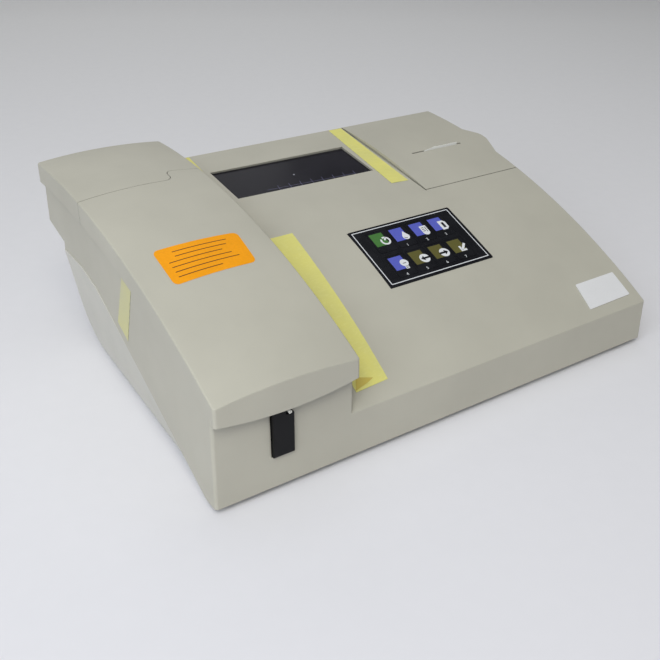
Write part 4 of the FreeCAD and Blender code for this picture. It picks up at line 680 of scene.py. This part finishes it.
def sign(kind, u, v):
    """White outlines, then black ones over them, for the sign at this place."""
    if kind == "power":
        ring = arc_band(u, v, 2.9, 4.5, math.radians(112), math.radians(-330))
        return [ring, bar(u - 0.4, v + 0.6, u + 1.9, v + 4.0, 1.5)], []
    if kind == "drop":
        glint = arc_band(u - 0.3, v - 1.0, 1.6, 2.2, math.radians(200), 1.6)
        return [drop_outline(u, v - 0.6, 4.5)], [glint]
    if kind == "vial":
        body = [(u - 3.2, v + 5.0), (u - 3.2, v - 2.4)]
        body += circle(u, v - 2.4, 3.2, 14, math.pi, math.pi)[1:]
        body += [(u + 3.2, v + 5.0)]
        marks = [oblong(u - 0.9, v + 2.8 - 1.9 * i, 2.6, 0.6) for i in range(3)]
        return [body], marks + [oblong(u + 1.7, v + 0.6, 0.5, 6.0)]
    if kind == "sheet":
        page = [(u - 3.4, v - 5.2), (u + 1.6, v - 5.2), (u + 3.8, v - 3.0), (u + 3.8, v + 3.0),
                (u + 1.6, v + 5.2), (u - 3.4, v + 5.2)]
        return [page], [oblong(u + 0.3, v, 2.4, 6.0)]
    if kind == "lamp":
        bulb = circle(u, v + 1.4, 3.7, 24)
        base = oblong(u, v - 3.6, 3.2, 3.0)
        threads = [oblong(u, v - 2.6, 2.2, 0.5), oblong(u, v - 4.0, 2.2, 0.5)]
        return [bulb, base], [oblong(u, v + 1.0, 3.4, 0.6)] + threads
    disc = circle(u, v, 4.6, 30)
    if kind == "back":
        head = [(u - 3.6, v), (u - 0.2, v + 2.6), (u - 0.2, v - 2.6)]
        return [disc], [head, oblong(u + 2.3, v, 5.2, 1.9)]
    if kind == "forward":
        head = [(u + 3.6, v), (u + 0.2, v - 2.6), (u + 0.2, v + 2.6)]
        return [disc], [head, oblong(u - 2.3, v, 5.2, 1.9)]
    corner = [(u - 4.0, v - 4.2), (u + 1.8, v - 4.2), (u + 1.8, v - 2.3), (u - 2.1, v - 2.3),
              (u - 2.1, v + 1.8), (u - 4.0, v + 1.8)]
    return [corner, bar(u - 2.6, v - 2.9, u + 3.4, v + 3.4, 2.1)], []


SIGN_IN = (10.8, 4.4)
NUMBER_IN = (6.4, -6.8)
NUMBER_SIZE = 3.77
NUMBER_LIFT = 0.06


def key_number(name, text, u, v, body):
    """A plain numeral, set flat on the keypad's plane."""
    letters = bpy.data.curves.new(name, "FONT")
    letters.body = text
    letters.size = NUMBER_SIZE * MM
    letters.align_x = "CENTER"
    letters.extrude = 0.02 * MM
    lettering = bpy.data.objects.new(name + "_outline", letters)
    mesh = bpy.data.meshes.new_from_object(lettering)
    bpy.data.objects.remove(lettering)
    mesh.name = name
    mesh.transform(KEY_FACE @ Matrix.Translation(Vector((u, v, NUMBER_LIFT)) * MM))
    add_piece(name, mesh, ink_white, body)


KINDS = ("power", "drop", "vial", "sheet", "lamp", "back", "forward", "enter")
INKS = (ink_green, ink_blue, ink_blue, ink_blue, ink_blue, ink_olive, ink_olive, ink_olive)
for number, (kind, ink) in enumerate(zip(KINDS, INKS)):
    left = SQUARE_U[number % 4]
    low = SQUARE_V[number // 4]
    body = "key_" + kind
    square = oblong(left + SQUARE_WIDTH / 2, low + SQUARE_HEIGHT / 2, SQUARE_WIDTH, SQUARE_HEIGHT)
    flat_piece("square_" + kind, [square], KEY_FACE, ink, body)
    white, dark = sign(kind, left + SIGN_IN[0], low + SIGN_IN[1])
    flat_piece("sign_" + kind, white, KEY_FACE, ink_white, body, 0.08)
    if dark:
        flat_piece("sign_detail_" + kind, dark, KEY_FACE, ink_black, body, 0.14)
    if number:
        key_number("number_" + kind, str(number), left + NUMBER_IN[0], low + NUMBER_IN[1], body)
print(len(KINDS), "signs")

# %% The white line round the film
WIDE = (film_high.x - film_low.x) / MM
LONG = (film_high.y - film_low.y) / MM / up_axis.y
INSET = 3.0
LINE = 0.75


def frame_line(u0, u1, v0, v1, width):
    return [bar(u0, v0, u1, v0, width), bar(u1, v0 - width / 2, u1, v1 + width / 2, width),
            bar(u1, v1, u0, v1, width), bar(u0, v1 + width / 2, u0, v0 - width / 2, width)]


border = frame_line(INSET, WIDE - INSET, INSET, LONG - INSET, LINE)
flat_piece("keypad_border", border, KEY_FACE, ink_white, "root")
print("keypad film", round(WIDE, 1), "by", round(LONG, 1), "mm")

# %% [markdown]
# ## What the display shows
# The display is on, and dimly: a long axis with ticks along its lower edge and one small bright
# point. The strokes are thin strips on the window, in a grey blue only a little brighter than
# the glass.

# %% Display strokes
GLASS_EDGE = 0.012
TICKS = 8
FIRST_TICK = 42.4
TICK_STEP = 10.9
glass_low, glass_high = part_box("screen_window")
glass = Ground("screen_window")
near, facing = glass.under((glass_low.x + glass_high.x) / 2, glass_low.y + GLASS_EDGE)
level = (across_axis - facing * facing.x).normalized()
rise = facing.cross(level).normalized()
SCREEN_CORNER = spot(132.6, 207.6)
corner, _ = glass.under(SCREEN_CORNER[0], SCREEN_CORNER[1])
SCREEN_FACE = plane_at(corner, level, rise, facing)
lit_line = printed("display_line", paint(96, 95, 122), 0.3, 0.05)
lit_dot = printed("display_dot", paint(170, 172, 184), 0.3, 0.05)
strokes = [bar(31.5, 7.4, 120.0, 4.6, 0.45), bar(42.0, 4.0, 119.0, 1.6, 0.35)]
for number in range(TICKS):
    u = FIRST_TICK + TICK_STEP * number
    strokes.append(bar(u + 1.0, 11.6 - 0.25 * number, u - 0.6, 2.6 - 0.15 * number, 0.45))
flat_piece("display_axis", strokes, SCREEN_FACE, lit_line, "root", 0.02, 0.03)
flat_piece("display_point", [circle(66.9, 23.2, 0.8, 16)], SCREEN_FACE, lit_dot, "root", 0.02, 0.04)
print("display slope", round(math.degrees(math.asin(rise.z)), 2), "degrees")

# %% [markdown]
# ## Strips of masking tape
# Pale yellow crepe tape still holds the covers down for transport. Crepe paper is wrinkled across
# its length and lets a little of the casing's colour through where it lies flat. Each strip is a long
# thin sheet over the surface, with a slightly wavy edge and shallow ripples, so that the light
# breaks on it, and the crests of the ripples carry a painted highlight. A small patch of darker
# yellow tape lies over the near end of the longest strip.

# %% Crepe finish
def crepe(name, full, thin, crest_highlight):
    finish = Finish(name, IOR=1.45)
    squeezed = finish.node("ShaderNodeMapping", {}, {"Vector": finish.place, "Scale": (0.5, 1.6, 1.0)})
    ripples = finish.noise(2.2, 4.0, 0.6, squeezed)
    patches = finish.noise(26.0, 3.0)
    tone = finish.mix(patches.between(0.3, 0.7), full, thin)
    # Painted highlight: the crests of the ripples are drawn lighter, as where light catches them.
    tone = finish.mix(ripples.between(0.5, 0.8) * 0.3, tone, crest_highlight)
    return finish.shade(Base_Color=tone, Roughness=0.5 + patches * 0.12,
                        Normal=finish.bump(ripples, 0.35, 0.15))


tape = crepe("crepe_tape", paint(228, 222, 126), paint(217, 213, 130), paint(238, 234, 164))
side_tape = crepe("thin_crepe_tape", paint(209, 205, 150), paint(201, 198, 158), paint(220, 216, 176))
dark_patch_tape = crepe("dark_patch_crepe_tape", paint(206, 186, 88), paint(196, 178, 86), paint(214, 196, 110))


def along_edge(places, share):
    """Point at this share of the way along an edge of several straight pieces."""
    pieces = len(places) - 1
    piece = min(int(share * pieces), pieces - 1)
    return Vector(places[piece]).lerp(Vector(places[piece + 1]), share * pieces - piece)


TAPE_THICKNESS = 0.14
RAGGED = 0.0245
RIPPLE = 0.10


def tape_strip(name, left_edge, right_edge, across=10, along=60, look="under", finish=tape):
    """A strip on the housing between a left and a right edge, both from near to far."""
    rows = []
    for i in range(along + 1):
        share = i / along
        left = along_edge(left_edge, share)
        right = along_edge(right_edge, share)
        ragged = random.uniform(-RAGGED, RAGGED)
        row = []
        for j in range(across + 1):
            place = left.lerp(right, (j + ragged * (j in (0, across))) / across)
            if look == "under":
                found, normal = panel_top.under(*spot(*place))
            else:
                found, normal = panel_top.beside(place[0] * MM + SHIFT_Y, place[1] * MM + SHIFT_Z)
            lift = 0.05 + RIPPLE * (1 + math.sin(i * 1.7 + j * 0.6)) * (0.3 + 0.7 * random.random())
            row.append((found + normal * lift * MM, normal))
        rows.append(row)
    mesh = sheet_mesh(name, rows, 0.0, TAPE_THICKNESS * MM)
    add_piece(name, mesh, finish, "root")


NEAR_LEFT = ((114.7, 11.6), (117.0, 62.0), (119.2, 108.3), (121.6, 148.9))
NEAR_RIGHT = ((142.3, 12.9), (144.4, 61.9), (146.1, 108.3), (147.9, 148.7))
tape_strip("tape_beside_pod", NEAR_LEFT, NEAR_RIGHT, along=75)
tape_strip("tape_rear_left", ((105.9, 186.4), (105.9, 290.8)), ((125.4, 186.0), (129.0, 290.8)))
tape_strip("tape_rear_right", ((268.8, 181.5), (275.0, 290.8)), ((286.3, 180.6), (289.0, 290.8)))
tape_strip("tape_on_side", ((130.5, 110.2), (147.5, 66.5)), ((115.1, 106.6), (130.6, 58.6)),
           along=30, look="beside", finish=side_tape)
DARK_PATCH = ((114.9, 12.6), (126.0, 14.9), (132.2, 16.8), (120.1, 20.6))
stick("tape_dark_patch", DARK_PATCH, 0.3, panel_top, dark_patch_tape, "root", 0.1, 0.46, 8, 8)
print("tape strips laid")

# %% [markdown]
# ## The end of the paper
# A torn end of paper stands a little out of the slot in the printer lid. Paper is so thin that only
# its edge and its bright face show. The top edge is left ragged, high on the right and low on the
# left, as a strip torn off sideways leaves it. It moves with the lid that holds it.

# %% Torn paper in the slot
PAPER_LEFT = 331.0
PAPER_RIGHT = 370.5
PAPER_Y = 214.8
PAPER_STEPS = 40
PAPER_THICKNESS = 0.12
BESIDE_SLOT = (326.0, 210.8)


def torn_paper():
    level, _ = Ground("printer_lid").under(*spot(*BESIDE_SLOT))
    form = bmesh.new()
    columns = []
    for i in range(PAPER_STEPS + 1):
        share = i / PAPER_STEPS
        x, y = spot(PAPER_LEFT + (PAPER_RIGHT - PAPER_LEFT) * share, PAPER_Y)
        high = level.z + (0.5 + 1.9 * min(share * 3.2, 1.0) + random.uniform(-0.12, 0.12)) * MM
        heights = [level.z - 3.0 * MM, level.z, high]
        columns.append([form.verts.new((x, y + 0.25 * k * MM, z)) for k, z in enumerate(heights)])
    for first_column, next_column in zip(columns, columns[1:]):
        for k in range(2):
            form.faces.new((first_column[k], next_column[k], next_column[k + 1], first_column[k + 1]))
    mesh = bpy.data.meshes.new("paper_end")
    form.to_mesh(mesh)
    form.free()
    piece = add_piece("paper_end", mesh, paper, "printer_lid")
    thick = piece.modifiers.new("thickness", "SOLIDIFY")
    thick.thickness = PAPER_THICKNESS * MM


torn_paper()
print("paper end", round(PAPER_RIGHT - PAPER_LEFT, 1), "mm wide")

# %% [markdown]
# ## Floor and light
# The instrument stands on a white cloth under wide, soft window light with no hard shadow. A pale
# floor that curves up behind stands in for the cloth. Four large lamps stand in for the room: a cool
# window on the left, a warmer one high in front, the ceiling, and a faint glow from the wall behind.
# Their strengths were first fitted, with each lamp rendered alone, and then set.

# %% Floor
FLOOR_SIDE = 5.0
FLOOR_FRONT = -4.0
FLOOR_REAR = 3.0
SWEEP = 1.2
SWEEP_STEPS = 12
WALL_TOP = 4.0


def backdrop():
    form = bmesh.new()
    profile = []
    for i in range(SWEEP_STEPS + 1):
        angle = math.pi / 2 * i / SWEEP_STEPS
        profile.append((FLOOR_REAR + SWEEP * math.sin(angle), SWEEP * (1 - math.cos(angle))))
    path = [(FLOOR_FRONT, 0.0)] + profile + [(FLOOR_REAR + SWEEP, WALL_TOP)]
    edges = []
    for side in (-FLOOR_SIDE, FLOOR_SIDE):
        edges.append([form.verts.new((side, y, z)) for y, z in path])
    for i in range(len(path) - 1):
        form.faces.new((edges[0][i], edges[1][i], edges[1][i + 1], edges[0][i + 1]))
    mesh = bpy.data.meshes.new("floor")
    form.to_mesh(mesh)
    form.free()
    for face in mesh.polygons:
        face.use_smooth = True
    finish = Finish("floor_cloth", IOR=1.4)
    weave = finish.noise(14.0, 3.0)
    # Painted light: the cloth is coloured brighter towards the back, standing in for the light that falls
    # more strongly there.
    depth = finish.node("ShaderNodeSeparateXYZ", {}, {"Vector": finish.place}, "Y")
    tone = finish.mix(depth.between(-0.5, 1.4), paint(224, 223, 229), paint(252, 252, 253))
    tone = finish.mix(weave.between(0.3, 0.7) * 0.04, tone, paint(200, 201, 206))
    mesh.materials.append(finish.shade(Base_Color=tone, Roughness=0.8 + weave * 0.05))
    piece = bpy.data.objects.new("floor", mesh)
    bpy.context.scene.collection.objects.link(piece)
    piece.rotation_euler = Euler((0, 0, -AZIMUTH))
    piece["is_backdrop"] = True


backdrop()


# %% Lights
ROOM_GLOW = 0.15


def soft_lamp(name, place, size, power, colour):
    """A wide lamp that faces the instrument; sizes in metres, power in watts."""
    light = bpy.data.lights.new(name, "AREA")
    light.shape = "RECTANGLE"
    light.size, light.size_y = size
    light.energy = power
    light.color = colour
    lamp = bpy.data.objects.new(name, light)
    lamp.location = place
    lamp.rotation_mode = "QUATERNION"
    lamp.rotation_quaternion = (-Vector(place)).to_track_quat("-Z", "Y")
    bpy.context.scene.collection.objects.link(lamp)


soft_lamp("window_left", (-1.15, -0.75, 1.05), (1.3, 1.2), 16.4, (0.88, 0.94, 1.0))
soft_lamp("window_front", (-0.8, -1.3, 1.9), (1.2, 1.0), 17.5, (1.0, 0.96, 0.84))
soft_lamp("ceiling", (0.0, 0.2, 2.2), (2.4, 2.0), 11.0, (0.92, 0.95, 1.0))
soft_lamp("rear_wall", (0.2, 1.9, 1.4), (2.0, 1.2), 3.6, (1.0, 1.0, 1.0))
room = bpy.data.worlds.new("room")
room.use_nodes = True
glow = room.node_tree.nodes["Background"]
glow.inputs["Color"].default_value = (1.0, 1.0, 1.0, 1.0)
glow.inputs["Strength"].default_value = ROOM_GLOW
bpy.context.scene.world = room
bpy.context.scene.view_settings.view_transform = "Standard"

# %% [markdown]
# ## Check the size and finish
# Things added on the surface could make the whole model larger than its solid pieces, so the growth of its
# box over theirs is printed. Nothing that was added may reach outside the solid model.

# %% Size and end
shown_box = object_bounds()
growth = (shown_box[1] - shown_box[0]) - (solid_box[1] - solid_box[0])
print("grown by", [round(float(side), 5) for side in growth])
